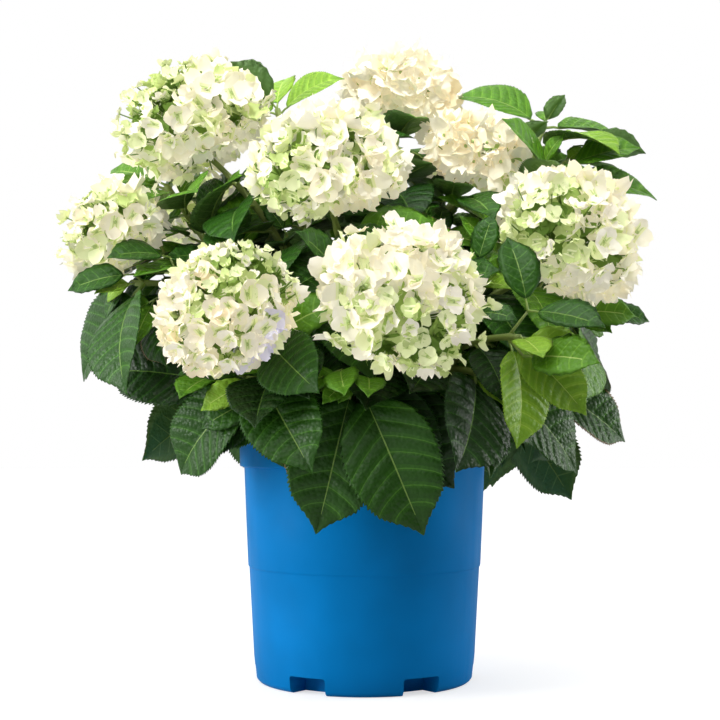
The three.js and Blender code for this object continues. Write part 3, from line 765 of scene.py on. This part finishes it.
def try_leaf(make, tries):
    """The first of `tries` turns that meets nothing, or None."""
    for attempt in range(tries):
        plan = make(attempt)
        tree, points = sketch(plan)
        clear = points[:, 2].min() > LOWEST_LEAF and not in_a_head(points)
        if clear and not any(tree.overlap(obstacle) for obstacle in obstacles):
            obstacles.append(tree)
            return plan
    return None


def young_pair(root, heading, turn, pitch, length, draw, tries=6):
    """Two leaves opposite each other, each at the first of its turns that meets nothing."""
    found = [try_leaf(lambda a: small_leaf(root, heading, turn + side * math.pi + a * 0.5, pitch,
                                           length * 0.94 ** a, draw), tries) for side in (0, 1)]
    return [plan for plan in found if plan]


# %% Twigs, collars and inner leaves
COLLARS = (0.93, 0.86, 0.78, 0.68, 0.57)
TIP_LENGTH = {"tall_left": 58, "high_left": 74}
small_leaves, twigs = [], []


def keep(pair, tint):
    """Adds a pair to the list, all in one tint."""
    small_leaves.extend({**plan, "tint": tint} for plan in pair)


for number, shoot in enumerate(shoots, 1):
    stem = shoot["stem"]
    draw = draws(95000 + number)
    if "head" in shoot:
        for share in COLLARS:
            keep(young_pair(point_on(stem, share), tangent_on(stem, share), share * 16, 80,
                            80 + 8 * draw(), draw, 12), MID if draw() > -0.3 else FRESH)
    else:
        size = TIP_LENGTH.get(shoot["name"], 40)
        keep(young_pair(point_on(stem, 1), tangent_on(stem, 1), 0, 30, size + 10 * draw(), draw, 8),
             YOUNG if draw() > -0.2 else FRESH)
    for pair in range(shoot["pairs"]):
        share = knot_share(shoot, pair)
        root, tangent = point_on(stem, share), tangent_on(stem, share)
        for hand in (0, 1):
            draw = draws(90000 + number * 100 + pair * 10 + hand)
            turn = math.radians(shoot["spin"] + pair * 90 + hand * 180 + 20 * draw())
            outward = round_stem(stem["plane"], tangent.cross(stem["plane"]), turn)
            heading = (outward + tangent * 0.9 + Vector((0, 0, 0.3))).normalized()
            end = root + heading * (26 + 12 * draw())
            if end.z > HIGHEST_TWIG:
                continue
            grown = young_pair(end, heading, turn, 48, 54 + 14 * draw(), draw)
            if grown:
                twigs.append((root, end))
                keep(grown, FRESH if draw() > 0 else MID)
    for share in np.arange(0.2, shoot["leaf_from"], 0.07):
        keep(young_pair(point_on(stem, share), tangent_on(stem, share), share * 22, 70,
                        64 + 10 * draw(), draw, 5), DEEP if draw() > -0.4 else MID)
print(len(small_leaves), "small leaves,", len(twigs), "side twigs")
leaf_piece("leaves_small", small_leaves, SMALL, [], 9)

# %% [markdown]
# ## Flower heads
# A mophead is a ball of florets, each of four broad, slightly cupped sepals round a bead of a bud. Some
# florets open late, so clusters of small greenish ones stand among the white. A head could be one bumpy
# ball, but its outline and its deep green gaps come from the florets. So each head has an outer layer of
# whole florets on a squat dome, a sparse green layer below them, and thin stalks. Most of that layer is a
# dark green that is painted shade for the gaps.

# %% Petal materials
# Sepals are matt and soft, with faint crumples. Light passes through the thin tissue of a real one, and a
# faint glow in the same colour stands in for it. The greener the sepal, the thicker, and the less it glows.
# The darkest green is painted shade for the gaps deep in a head, and it glows least.
PETAL_COLOURS = {
    "white": "#f4efde", "ivory": "#f5eed7", "cream": "#f5e8c8", "pale": "#e6ecbb", "lime": "#cfde94",
    "green": "#a9c56a", "moss_and_painted_shade": "#74943f", "lilac": "#dedaea",
}
PETAL = {name: number for number, name in enumerate(PETAL_COLOURS)}
GLOW, FULL_GLOW = {"lime": 0.09, "green": 0.05, "moss_and_painted_shade": 0.03}, 0.18
petal_materials = [living(f"petal_{name}", colour, 0.6, 3, 0.2, Emission_Color=linear(colour),
                          Emission_Strength=GLOW.get(name, FULL_GLOW), Specular_IOR_Level=0.25)
                   for name, colour in PETAL_COLOURS.items()]
petal_materials.append(living("flower_bud", "#b9cf86", 0.5, 1, 0.1))
BUD = len(PETAL)
print(len(petal_materials), "petal and bud materials")

# %% Head values
# For each head: florets on the whole ball, floret radius in mm, how rough the ball is, how deep the florets
# sit in their own radii, the shares of white, ivory, cream, pale and lime, the two tints at the floret's
# middle, and the side of the head where the florets are still young.
HEADS = table(["count", "size", "rough", "inset", "shares", "heart", "green_side"], {
    "upper_left": (235, 12.5, 0.08, 1.0, (7, 3, 0, 2, 1), ("lime", "pale"), (-0.7, -0.2, 0.6)),
    "upper_middle": (205, 13.2, 0.065, 1.1, (7, 3, 0, 2, 0), ("lime", "pale"), (-0.7, -0.3, -0.6)),
    "top": (135, 16, 0.045, 0.95, (6, 5, 1, 0, 0), ("cream", "ivory"), (0, 1, -0.3)),
    "upper_right": (130, 15, 0.06, 0.95, (3, 5, 2, 0, 0), ("cream", "ivory"), (0.3, 0.3, -0.9)),
    "right": (235, 13, 0.075, 0.9, (7, 4, 0, 1, 0), ("lime", "pale"), (-0.8, -0.6, 0)),
    "front_middle": (210, 13.2, 0.065, 1.1, (7, 3, 0, 2, 0), ("lime", "pale"), (0.2, -0.5, -0.3)),
    "front_left": (265, 10.3, 0.045, 0.95, (6, 5, 1, 1, 0), ("lime", "pale"), (0, -0.2, 1)),
    "left": (115, 12.5, 0.13, 0.55, (6, 3, 0, 2, 1), ("lime", "pale"), (-0.8, 0, 0.6)),
    "back_left": (130, 13.5, 0.07, 1.0, (6, 3, 0, 2, 1), ("lime", "pale"), (0, 0, 1)),
    "back_top": (128, 14, 0.07, 1.0, (5, 4, 1, 1, 0), ("lime", "pale"), (0.7, 0, -0.7)),
    "back_right": (128, 14, 0.07, 1.0, (6, 3, 0, 2, 1), ("lime", "pale"), (-0.7, 0, 0.7)),
    "back_low_left": (130, 13.5, 0.07, 1.0, (5, 4, 1, 1, 0), ("lime", "pale"), (0.7, 0, 0.7)),
    "back_low_right": (130, 14, 0.07, 1.0, (6, 3, 0, 2, 1), ("lime", "pale"), (0, 0.7, 0.7)),
})
print(len(HEADS), "heads with", sum(head["count"] for head in HEADS), "places for florets")


# %% Florets
def unit(vectors):
    """Each vector over its length."""
    return vectors / np.linalg.norm(vectors, axis=-1, keepdims=True)


def sepal_points(centres, normals, spins, sizes, rows, columns, rng):
    """Four sepals round each centre, as (floret, sepal, row, column). A sepal reaches out by s, in rows
    that crowd at the heart, and across by t. Its half-width is 0.6 sqrt(1 - |2 s^0.8 - 1|^2.6), it ends in
    a blunt point, cups up by -0.05 to 0.95 of s^2, and its rim waves."""
    count = len(centres)
    tilt = unit(np.cross(normals, unit(rng.normal(size=(count, 3)))))
    over = np.cross(normals, tilt)
    turn = spins[:, None] + np.arange(4) * np.pi / 2 + rng.normal(0, 0.12, (count, 4))
    out, aside = directions(tilt, over, turn), directions(over, -tilt, turn)
    s = (0.06 + 0.9 * np.linspace(0, 1, rows) ** 1.35)[None, None, :, None]
    t = np.linspace(-1, 1, columns)[None, None, None, :]

    def each(low, high):
        """A chance value for each sepal, the same in all its rows and columns."""
        return rng.uniform(low, high, (count, 4))[:, :, None, None]

    size = sizes[:, None, None, None] * each(0.85, 1.12)
    half = 0.6 * size * each(0.85, 1.1) * np.sqrt(np.clip(1 - np.abs(2 * s ** 0.8 - 1) ** 2.6, 0.02, 1))
    reach = size * (s + 0.08 * (1 - np.abs(t)) ** 1.5 * s ** 4)
    cup, curl, crimp = each(-0.05, 0.95), each(-0.2, 0.35), each(0, 2 * np.pi)
    stacked = np.array([0, 0.07, 0, 0.07])[None, :, None, None]
    lift = size * (stacked + cup * s * s + curl * s * t * t - 0.1 * s * (1 - np.abs(t))
                   + 0.07 * np.sin(crimp + 7 * s) * t + 0.05 * np.sin(2 * crimp + 5 * t) * s)
    return (centres[:, None, None, None] + out[:, :, None, None] * reach[..., None]
            + aside[:, :, None, None] * (half * t)[..., None]
            + normals[:, None, None, None] * lift[..., None])


# %% The dome
GOLDEN_ANGLE = np.pi * (3 - np.sqrt(5))
UNDER_SQUAT, STALK_HOLE = 0.62, -0.86


def around(reach, turn, height):
    """Points at `reach` from an upright axis and at `height`, for each bearing of `turn`."""
    x, y = reach * np.cos(turn), reach * np.sin(turn)
    return np.stack([x, y, np.broadcast_to(height, x.shape)], -1)


def dome_sites(head, count, rng):
    """Evenly spread directions by the golden angle, less those round the stalk, as places and normals. The
    dome reaches its radius over hypot(sin, cos / squat), and is 0.62 squat below."""
    i = np.arange(count)
    z = 1 - (2 * i + 1) / count
    local = around(np.sqrt(1 - z * z), GOLDEN_ANGLE * i + rng.normal(0, 0.08, count), z)[z > STALK_HOLE]
    cosine = local[:, 2]
    squat = np.where(cosine > 0, head["squat"], UNDER_SQUAT)
    normal = unit(local / np.stack([np.ones_like(squat), np.ones_like(squat), squat ** 2], -1))
    reach = head["radius"] * (1 / np.hypot(np.sqrt(1 - cosine ** 2), cosine / squat))
    to_world = np.array(Vector((0, 0, 1)).rotation_difference(head["axis"]).to_matrix())
    return reach[:, None] * local @ to_world.T, normal @ to_world.T


# %% Buds and stalks
BUD_SIDES, BUD_CORNERS, STALK_SIDES, STALK_CORNERS = 6, 13, 3, 6


def bud_points(centres, normals, sizes, rng):
    """A low dome of six sides: a ring, a smaller ring above it, and its top."""
    side = unit(np.cross(normals, unit(rng.normal(size=normals.shape))))
    ring = directions(side, np.cross(normals, side), circle(BUD_SIDES))
    size = sizes[:, None, None]
    low = centres[:, None] + size * (ring * 0.14 + normals[:, None] * 0.02)
    high = centres[:, None] + size * (ring * 0.11 + normals[:, None] * 0.13)
    top = centres[:, None] + size * normals[:, None] * 0.17
    return np.concatenate([low, high, top], axis=1)


def stalk_points(bottom, top, radius):
    """A three-sided prism from each `bottom` to each `top`."""
    along = unit(top - bottom)
    side = unit(np.cross(along, np.array([0.3, 0.5, 0.81])))
    ring = radius * directions(side, np.cross(along, side), circle(STALK_SIDES))
    return np.concatenate([bottom[:, None] + ring, top[:, None] + ring], axis=1)


bud_sides = grid_faces(2, BUD_SIDES, closed=True)
bud_top = np.stack([bud_sides[:, 3], bud_sides[:, 2], np.full(BUD_SIDES, BUD_CORNERS - 1)], -1)
stalk_sides = grid_faces(2, STALK_SIDES, closed=True)
print(len(bud_sides) + len(bud_top), "faces on a bud,", len(stalk_sides), "on its stalk")

# %% Young florets and tints
YOUNG_FROM, FADED_FROM, ANY_TURN = 0.62, 0.92, 6.3
YOUNG_TINTS = [PETAL[name] for name in ("white", "pale", "pale", "lime")]
# The inner layer is mostly the darkest green, which is painted shade for the gaps deep in the head. Lime and
# green are the colours of young florets.
INNER_TINTS = [PETAL[name] for name in ("lime", "green", "moss_and_painted_shade", "moss_and_painted_shade")]


def young_florets(head, facing, rng):
    """Which florets are young: facing . green side + 0.22 of three crossed sine waves + chance > 0.62."""
    waves = np.sin(5 * facing @ unit(rng.normal(size=(3, 3))).T + rng.uniform(0, 2 * np.pi, 3))
    greenness = (facing @ unit(np.array(head["green_side"])) + 0.22 * waves.sum(1)
                 + rng.normal(0, 0.15, len(facing)))
    return greenness > YOUNG_FROM


def petal_tints(head, facing, young, rng):
    """One tint for each floret: by the head's shares, greener where it is young, and lilac where the oldest
    head fades."""
    shares = np.array(head["shares"]) / sum(head["shares"])
    tint = rng.choice(len(shares), len(facing), p=shares)
    tint = np.where(young, rng.choice(YOUNG_TINTS, len(facing)), tint)
    if head["name"] == "front_left":
        fading = facing @ unit(np.array([0.6, -0.35, -0.75])) + rng.normal(0, 0.1, len(facing))
        tint = np.where(fading > FADED_FROM, PETAL["lilac"], tint)
    return tint


def sepal_part(points, looks):
    """The points of many sepals and their faces, each with its look."""
    rows, columns = points.shape[2:4]
    faces = repeat_faces(grid_faces(rows, columns)[:, ::-1], points.shape[0] * 4, rows * columns)
    return points.reshape(-1, 3), [(faces, looks.ravel())]


# %% One head
def head_parts(head, rng):
    """Points and groups of one flower head: outer florets, buds, green inner florets and stalks."""
    places, normals = dome_sites(head, head["count"], rng)
    centre, count = np.array(head["centre"]), len(places)
    lumps = 1 + rng.normal(0, head["rough"], count)
    lean = unit(normals + rng.normal(0, 0.45, (count, 3)))
    facing = unit(places)
    young = young_florets(head, facing, rng)
    sizes = head["size"] * np.where(young, rng.uniform(0.5, 0.75, count), rng.uniform(0.8, 1.17, count))
    sites = centre + places * lumps[:, None] - normals * (head["inset"] * sizes)[:, None]
    print(head["name"], count, "florets,", young.sum(), "young")

    points = sepal_points(sites, lean, rng.uniform(0, ANY_TURN, count), sizes, 6, 5, rng)
    tint = petal_tints(head, facing, young, rng)
    looks = np.broadcast_to(tint[:, None, None, None], (count, 4, 5, 4)).copy()
    looks[:, :, 0], looks[:, :, 1] = (PETAL[name] for name in head["heart"])
    buds = bud_points(sites, lean, sizes, rng)

    inner_places, inner_normals = dome_sites(head, head["count"] // 2, rng)
    inner = len(inner_places)
    inner_lean = unit(inner_normals + rng.normal(0, 0.3, (inner, 3)))
    inner_sites = centre + inner_places - inner_normals * 1.6 * head["size"]
    inner_points = sepal_points(inner_sites, inner_lean, rng.uniform(0, ANY_TURN, inner),
                                head["size"] * rng.uniform(0.7, 0.95, inner), 4, 3, rng)
    inner_looks = np.repeat(rng.choice(INNER_TINTS, inner), 4 * 3 * 2)
    start = centre + (sites - centre) * 0.25 - np.array(head["axis"]) * head["radius"] * 0.25
    stalks = stalk_points(start, sites - lean * 0.3, radius=0.7)
    bud_faces = [(repeat_faces(faces, count, BUD_CORNERS), BUD) for faces in (bud_sides, bud_top)]
    stalk_faces = [(repeat_faces(stalk_sides, count, STALK_CORNERS), PETAL["moss_and_painted_shade"])]
    return [sepal_part(points, looks), (buds.reshape(-1, 3), bud_faces),
            sepal_part(inner_points, inner_looks), (stalks.reshape(-1, 3), stalk_faces)]


def merge(parts):
    """Joins (points, groups) one after another, with each face's point numbers moved on."""
    points, groups, start = [], [], 0
    for found, faces in parts:
        points.append(found)
        groups += [(f + start, m) for f, m in faces]
        start += len(found)
    return np.concatenate(points), groups


# %% Flower head pieces
BLOOM_ZONES = {
    "blossom_upper": ["upper_left", "upper_middle", "top", "upper_right", "back_top"],
    "blossom_front": ["right", "front_middle", "front_left", "left"],
    "blossom_back": ["back_left", "back_right", "back_low_left", "back_low_right"],
}
domes = {shoot["name"]: shoot for shoot in shoots if "head" in shoot}
head_values = {row["name"]: row for row in HEADS}
for seed, (zone, members) in enumerate(BLOOM_ZONES.items()):
    rng = np.random.default_rng(100 + seed)
    parts = []
    for name in members:
        parts += head_parts({**domes[name], **head_values[name]}, rng)
    make_piece(zone, *merge(parts), petal_materials, "petals", [f"flower_head_{m}" for m in members])

# %% [markdown]
# ## Stems and the woody base
# Young canes are green and smooth, swollen where a leaf pair sits, and turn brown and stringy at the foot.
# A curve with a bevel would give a plain pipe. Instead a ring of points is carried along each stem, and its
# radius is a function of the way along and round, so the swellings, ridges and bark strips are real shape.
# The stool that the canes rise from is one more such tube, with five lobes.

# %% Bark and stem materials
# Old hydrangea bark is grey brown and rough, and peels in strips. The young rind is green and smoother.
stem_materials = [
    living("old_bark", "#6a5540", 0.85, 1.5, 0.6, 4, 0.5),
    living("turning_bark", "#7c6a45", 0.75, 2, 0.4, 5, 0.3),
    living("green_rind", "#7d8f46", 0.5, 2.5, 0.15),
]
OLD, TURNING, GREEN = range(len(stem_materials))
print(len(stem_materials), "stem materials")

# %% Stem surface
SWELLING, KNOT_REACH, PEEL_TO = 0.8, 0.018, 0.33


def stem_rings(stem, first, last, knots, rows, sides, rng):
    """Points of a stem as (row, side). Radius in mm is 4.4 - 1.8 s, with a swelling of 0.8 at each knot,
    four low ridges, and strips 0.45 high that peel below the first third."""
    share = np.linspace(first, last, rows)
    angle = circle(sides)
    swell = np.exp(-((share[:, None] - np.array(knots)[None]) / KNOT_REACH) ** 2).sum(1)
    ridges = 1 + 0.04 * np.cos(4 * angle + rng.uniform(0, 6))
    radius = (ROOT_RADIUS - STEM_TAPER * share + SWELLING * swell)[:, None] * ridges
    peel = np.clip(1 - share / PEEL_TO, 0, 1)[:, None]
    radius = radius + peel * 0.45 * np.sin(5 * angle + 3 * np.sin(30 * share[:, None] + rng.uniform(0, 6)))
    centre = np.array([point_on(stem, s) for s in share])
    along = np.array([tangent_on(stem, s) for s in share])
    plane = np.array(stem["plane"])
    return centre[:, None] + radius[..., None] * directions(-np.cross(along, plane), plane, angle)


def tube_part(rings, looks):
    """Faces of a closed tube from its rings, with one cap at each end."""
    rows, sides = rings.shape[:2]
    quads = grid_faces(rows, sides, closed=True)
    return rings.reshape(-1, 3), [(quads, np.repeat(looks, sides)), (end_caps(rows, sides), looks[[0, -1]])]


# %% Stems
# A stem is old bark at its foot, turns over the next stretch, and is green above. A head's stalk and the
# side twigs are green too. A twig's rings are those of a stem's end, made thinner and set out on its line.
STEM_ROWS, STEM_SIDES = 34, 12
OLD_TO, TURNING_TO = 0.16, 0.34
rng = np.random.default_rng(31)
parts = []
for shoot in shoots:
    knots = [knot_share(shoot, pair) for pair in range(shoot["pairs"])]
    rings = stem_rings(shoot["stem"], 0, 1, knots, STEM_ROWS, STEM_SIDES, rng)
    share = np.linspace(0, 1, STEM_ROWS)[:-1] + rng.uniform(-0.04, 0.04)
    looks = np.where(share < OLD_TO, OLD, np.where(share < TURNING_TO, TURNING, GREEN))
    parts.append(tube_part(rings, looks))
    if "head" in shoot:
        inside = shoot["centre"] - shoot["axis"] * shoot["radius"] * 0.15
        stalk = {"curve": (shoot["neck"] - shoot["axis"] * 2, (shoot["neck"] + inside) / 2, inside),
                 "plane": Vector((-shoot["axis"].y, shoot["axis"].x, 0)).normalized()}
        parts.append(tube_part(stem_rings(stalk, 0.8, 1, [], 6, 8, rng), np.full(5, GREEN)))
for root, end in twigs:
    stalk = {"curve": (root, (root + end) / 2, end),
             "plane": (end - root).cross(Vector((0, 0, 1))).normalized()}
    rings = stem_rings(stalk, 1, 1, [], 4, 6, rng)
    way = np.linspace(0, 1, 4)[:, None, None]
    rings = np.array(root) + (rings - np.array(end)) * (0.62 - 0.2 * way) + np.array(end - root) * way
    parts.append(tube_part(rings, np.full(3, GREEN)))
stem_names = [f"cane_{cane['name']}" for cane in FLOWERING]
make_piece("canes", *merge(parts), stem_materials, "green_cane", stem_names)


# %% Woody base
def base_rings(rows, sides):
    """Five low lobes that flare at the soil: radius 40 at the foot, 29 at the waist, 31 at the top, times
    1 + 0.14 cos 5a where the lobes are full, with furrows 2 to 3 mm deep that wander up the bark."""
    angle = circle(sides)
    share = np.linspace(-0.08, 1, rows)
    radius = np.interp(share, [0, 0.25, 0.6, 0.93, 1], [40, 32.5, 29, 31, 28.5])[:, None]
    lobed = np.interp(share, [0, 0.25, 0.6, 1], [1, 0.7, 0.35, 0.15])[:, None]
    wander = 13 * angle[None] + 2.4 * np.sin(5 * share[:, None] + 2 * angle[None])
    furrow = 1.0 * np.sin(wander) + 0.7 * np.sin(2.3 * wander + 4 * share[:, None])
    reach = radius * (1 + 0.14 * lobed * np.cos(5 * angle)) + furrow - 1
    height = SOIL_TOP + GAP + STOOL_HEIGHT * np.clip(share, -0.08, 1)
    return around(reach, angle, height[:, None])


ROUNDED_TOP = ((0.8, 0.8), (0.5, 1.2), (0.2, 1.3))  # the last ring's scale and rise in mm, three times
rings = base_rings(26, 150)
crown = [rings[-1] * (scale, scale, 1) + (0, 0, rise) for scale, rise in ROUNDED_TOP]
rings = np.concatenate([rings, crown])
base_part = tube_part(rings, np.full(len(rings) - 1, OLD))
make_piece("woody_base_bark", *base_part, stem_materials, "old_bark", ["woody_base"])

# %% [markdown]
# ## The pot
# A nursery pot is blow-moulded polypropylene: a thin tapered wall with a rounded heel, a small step that
# stops stacked pots jamming, a band and a lip, and notches in the foot for drainage. A turned profile gives
# the wall, and Boolean cutters with rounded corners give the notches and their pockets, as the mould does.

# %% Pot profile
POT_SEGMENTS = 216
OUTSIDE = np.array([
    (0, 0), (60, 0), (95.5, 0), (97.3, 0.4), (98.5, 1.4), (99.6, 2.8), (100.3, 4.5), (102.2, 24), (104.4, 65),
    (106.5, 104.4), (106.7, 105.1), (107.3, 105.8), (107.6, 106.6), (109.4, 150), (111.2, 195.6),
    (111.6, 196.6), (112.4, 197), (114.4, 197.2), (115, 197.8), (115.2, 199), (115.5, 216.4), (115.9, 217.3),
    (116.8, 217.6), (122.1, 217.7), (122.8, 218.2), (123, 219.2), (122.8, 222), (122.2, 223.4), (121, 224),
    (0, 224)])
INSIDE = np.array([
    (0, 5), (60, 5), (93.5, 5), (99.8, 24), (104.2, 105), (108.9, 196), (111.5, 199.5), (111.5, 230),
    (0, 230)])


def turned(profile, segments):
    """A closed solid of revolution: the profile runs up the outside from the axis back to the axis."""
    rings = profile[1:-1]
    points = around(rings[:, :1], circle(segments), rings[:, 1:]).reshape(-1, 3)
    ends = np.array([(0, 0, profile[0, 1]), (0, 0, profile[-1, 1])])
    low, high = len(points), len(points) + 1
    near, after = np.arange(segments), (np.arange(segments) + 1) % segments
    last = (len(rings) - 1) * segments
    bottom = np.stack([after, near, np.full(segments, low)], -1)
    top = np.stack([last + near, last + after, np.full(segments, high)], -1)
    return np.concatenate([points, ends]), [grid_faces(len(rings), segments, closed=True), bottom, top]


print("the pot is", 2 * OUTSIDE[:, 0].max(), "mm across and", OUTSIDE[:, 1].max(), "mm high")

# %% Notch cutters
NOTCHES, NOTCH_ANGLE, HEEL_RADIUS = 6, 10.3, 95.5
BLOCK_FROM, BLOCK_TO, BLOCK_FOOT = 80, 130, -5


def notch_block(middle, grow, radius, high):
    """A block from radius 80 to 130 over one notch, 10.3 degrees each side, with rounded upper corners."""
    half = NOTCH_ANGLE * HEEL_RADIUS * math.pi / 180 + grow
    corner = np.linspace(0, np.pi / 2, 5)
    rise, run = radius * np.sin(corner), radius * np.cos(corner)
    x = np.concatenate([[half], half - radius + run, -half + radius - rise, [-half]])
    z = np.concatenate([[BLOCK_FOOT], high - radius + rise, high - radius + run, [BLOCK_FOOT]])
    rings = [around(reach, middle + x / HEEL_RADIUS, z) for reach in (BLOCK_FROM - grow, BLOCK_TO)]
    return np.concatenate(rings), [(grid_faces(2, len(x), closed=True), 0), (end_caps(2, len(x)), 0)]


def plain_object(name, points, faces):
    """A helper mesh for the Booleans, not a piece of the plant."""
    mesh = bpy.data.meshes.new(name)
    mesh.from_pydata((np.asarray(points) * MM).tolist(), [], [f.tolist() for group in faces for f in group])
    made = bpy.data.objects.new(name, mesh)
    scene.collection.objects.link(made)
    return made


def notch_ring(name, grow, radius, high):
    """Six notch blocks, at every 60 degrees from +X."""
    points, groups = merge([notch_block(i * math.pi / 3, grow, radius, high) for i in range(NOTCHES)])
    return plain_object(name, points, [faces for faces, _ in groups])


def cut(target, cutter):
    """Takes the cutter out of the target for good, and removes the cutter."""
    modifier = target.modifiers.new("cut", "BOOLEAN")
    modifier.operation = "DIFFERENCE"
    modifier.solver = "EXACT"
    modifier.object = cutter
    bpy.context.view_layer.update()
    evaluated = target.evaluated_get(bpy.context.evaluated_depsgraph_get())
    target.data = bpy.data.meshes.new_from_object(evaluated)
    target.modifiers.clear()
    bpy.data.objects.remove(cutter)


# %% Pot
hollow = plain_object("hollow", *turned(INSIDE, POT_SEGMENTS))
cut(hollow, notch_ring("pockets", 2.2, 4, 17.7))
pot = plain_object("nursery_pot", *turned(OUTSIDE, POT_SEGMENTS))
cut(pot, hollow)
cut(pot, notch_ring("notches", 0, 2.5, 15.5))
print("nursery_pot", len(pot.data.polygons), "faces")

# %% [markdown]
# The plastic is blue through and through, and its moulded skin is nearly matt. In soft light it mirrors
# nothing: it only darkens gently round its sides. One flat colour would look like paper, so the blue drifts
# a little over the width of a hand, faint streaks run up the wall as it left the mould, and a fine orange
# peel keeps the sheen from being even.

# %% Pot material
DRIFT, STREAKS, PEEL = 14, 90, 200  # noise scales a metre: about 70, 11 and 5 mm
SHEEN = 0.05


def moulded_plastic(name, light, dark, roughness):
    """A plain plastic whose colour drifts slowly, with orange peel of 5 mm and streaks of the mould."""
    material, tree, shader, where = new_material(name)
    slow = add_node(tree, "ShaderNodeTexNoise", {"Vector": where, "Scale": DRIFT, "Detail": 2})
    ramp = add_node(tree, "ShaderNodeValToRGB", {"Fac": slow.outputs["Fac"]})
    ramp.color_ramp.elements[0].position = 0.3
    ramp.color_ramp.elements[0].color = linear(dark)
    ramp.color_ramp.elements[1].position = 0.7
    ramp.color_ramp.elements[1].color = linear(light)
    tree.links.new(ramp.outputs["Color"], shader.inputs["Base Color"])
    shader.inputs["Specular IOR Level"].default_value = SHEEN
    stretched = add_node(tree, "ShaderNodeMapping", {"Vector": where, "Scale": (1, 1, 0.08)})
    streaks = add_node(tree, "ShaderNodeTexNoise", {
        "Vector": stretched.outputs["Vector"], "Scale": STREAKS, "Detail": 3})
    dull = add_node(tree, "ShaderNodeMapRange", {
        "Value": streaks.outputs["Fac"], "From Min": 0.3, "From Max": 0.7,
        "To Min": roughness - 0.05, "To Max": roughness + 0.07})
    tree.links.new(dull.outputs["Result"], shader.inputs["Roughness"])
    peel = add_node(tree, "ShaderNodeTexNoise", {"Vector": where, "Scale": PEEL, "Detail": 2})
    bump = add_node(tree, "ShaderNodeBump", {
        "Height": peel.outputs["Fac"], "Strength": 1.0, "Distance": 0.05 * MM})
    tree.links.new(bump.outputs["Normal"], shader.inputs["Normal"])
    return material


pot.data.materials.clear()
pot.data.materials.append(moulded_plastic("blue_polypropylene", "#0080cb", "#0073b7", 0.42))
pot.data.shade_smooth()
pot.data.set_sharp_from_angle(angle=math.radians(28))
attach(pot, "root")
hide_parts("pot")
print("the pot wears", pot.data.materials[0].name)

# %% [markdown]
# ## Potting mix
# The mix is composted bark and peat: a dark, crumbly surface with loose chips of bark. The surface is a
# round height field that sinks at the wall, and the chips are small bent blocks scattered over it. A flat
# disc with a rough bump would do from afar, but its edge at the pot would be a ruled line.

# %% Soil surface
SOIL_COLUMNS, SOIL_RINGS = 140, 44
CRUMBS = ((60, 1.2), (23, 0.8), (11, 0.7), (6, 0.6), (3.7, 0.4))  # wavelength and height in mm
WALL = ((110.6, 199.8), (108.2, 195), (103.5, 105), (99, 24))  # radius and height down the pot's wall


def crumble(x, y, rng, waves):
    """A rough height in mm: the sum of crossed sines, each (wavelength, height) turned and shifted by
    chance."""
    total = np.zeros_like(x)
    for length, height in waves:
        turn, shift = rng.uniform(0, np.pi), rng.uniform(0, 2 * np.pi, 2)
        a, b = x * np.cos(turn) + y * np.sin(turn), y * np.cos(turn) - x * np.sin(turn)
        total += (height * np.sin(2 * np.pi * a / length + shift[0])
                  * np.sin(2 * np.pi * b / length + shift[1]))
    return total


rng = np.random.default_rng(77)
turn = circle(SOIL_COLUMNS)
reach = np.concatenate([[0.5], np.linspace(4, 110.4, SOIL_RINGS)])[:, None]
top = around(reach, turn, 0.0)
z = SOIL_TOP - 1.6 + crumble(top[..., 0], top[..., 1], rng, CRUMBS)
top[..., 2] = np.minimum(z, SOIL_TOP - 0.1) - 1.5 * np.clip((reach - 104) / 6, 0, 1)
rings = np.concatenate([top, [around(radius, turn, height) for radius, height in WALL]])[::-1]
soil_part = tube_part(rings, np.zeros(len(rings) - 1, int))
print("the soil lies between", top[..., 2].min().round(1), "and", top[..., 2].max().round(1), "mm")


# %% Bark chips
CHIPS = 900
CHIP_RINGS = (14, 43)


def chip_parts(count, rng):
    """Blocks of 8 corners, 3 to 9 mm long, each corner moved by chance, lying on the soil."""
    corners = np.array([(i, j, k) for i in (-1, 1) for j in (-1, 1) for k in (-1, 1)], float) / 2
    size = rng.uniform((3, 1.5, 0.7), (9, 4, 1.6), (count, 3))
    blocks = corners[None] * size[:, None] + rng.normal(0, 0.3, (count, 8, 3))
    turn = rng.uniform(0, 2 * np.pi, count)
    tilt = rng.normal(0, 0.25, count)
    xs = blocks[..., 0] * np.cos(turn)[:, None] - blocks[..., 1] * np.sin(turn)[:, None]
    ys = blocks[..., 0] * np.sin(turn)[:, None] + blocks[..., 1] * np.cos(turn)[:, None]
    zs = blocks[..., 2] + blocks[..., 0] * tilt[:, None]
    ring = rng.integers(*CHIP_RINGS, count)
    spot = top[ring, rng.integers(0, SOIL_COLUMNS, count)]
    points = np.stack([xs + spot[:, :1], ys + spot[:, 1:2], zs + spot[:, 2:] + 0.4], -1)
    points[..., 2] = np.minimum(points[..., 2], SOIL_TOP + 4)
    faces = np.array([(0, 1, 3, 2), (4, 6, 7, 5), (0, 4, 5, 1), (2, 3, 7, 6), (0, 2, 6, 4), (1, 5, 7, 3)])
    return points.reshape(-1, 3), [(repeat_faces(faces, count, 8), np.repeat(rng.integers(1, 3, count), 6))]


soil_materials = [
    living("potting_mix", "#2f2119", 0.95, 2, 1.2, 3, 0.8),
    living("bark_chip_brown", "#5a3d28", 0.85, 1.5, 0.3),
    living("bark_chip_dark", "#3a281c", 0.9, 1.5, 0.3),
]
soil_parts = merge([soil_part, chip_parts(CHIPS, rng)])
make_piece("potting_mix_and_chips", *soil_parts, soil_materials, "potting_mix", ["soil"], smooth=40)

# %% Sizes and the end
print(face_total, "triangles in all")
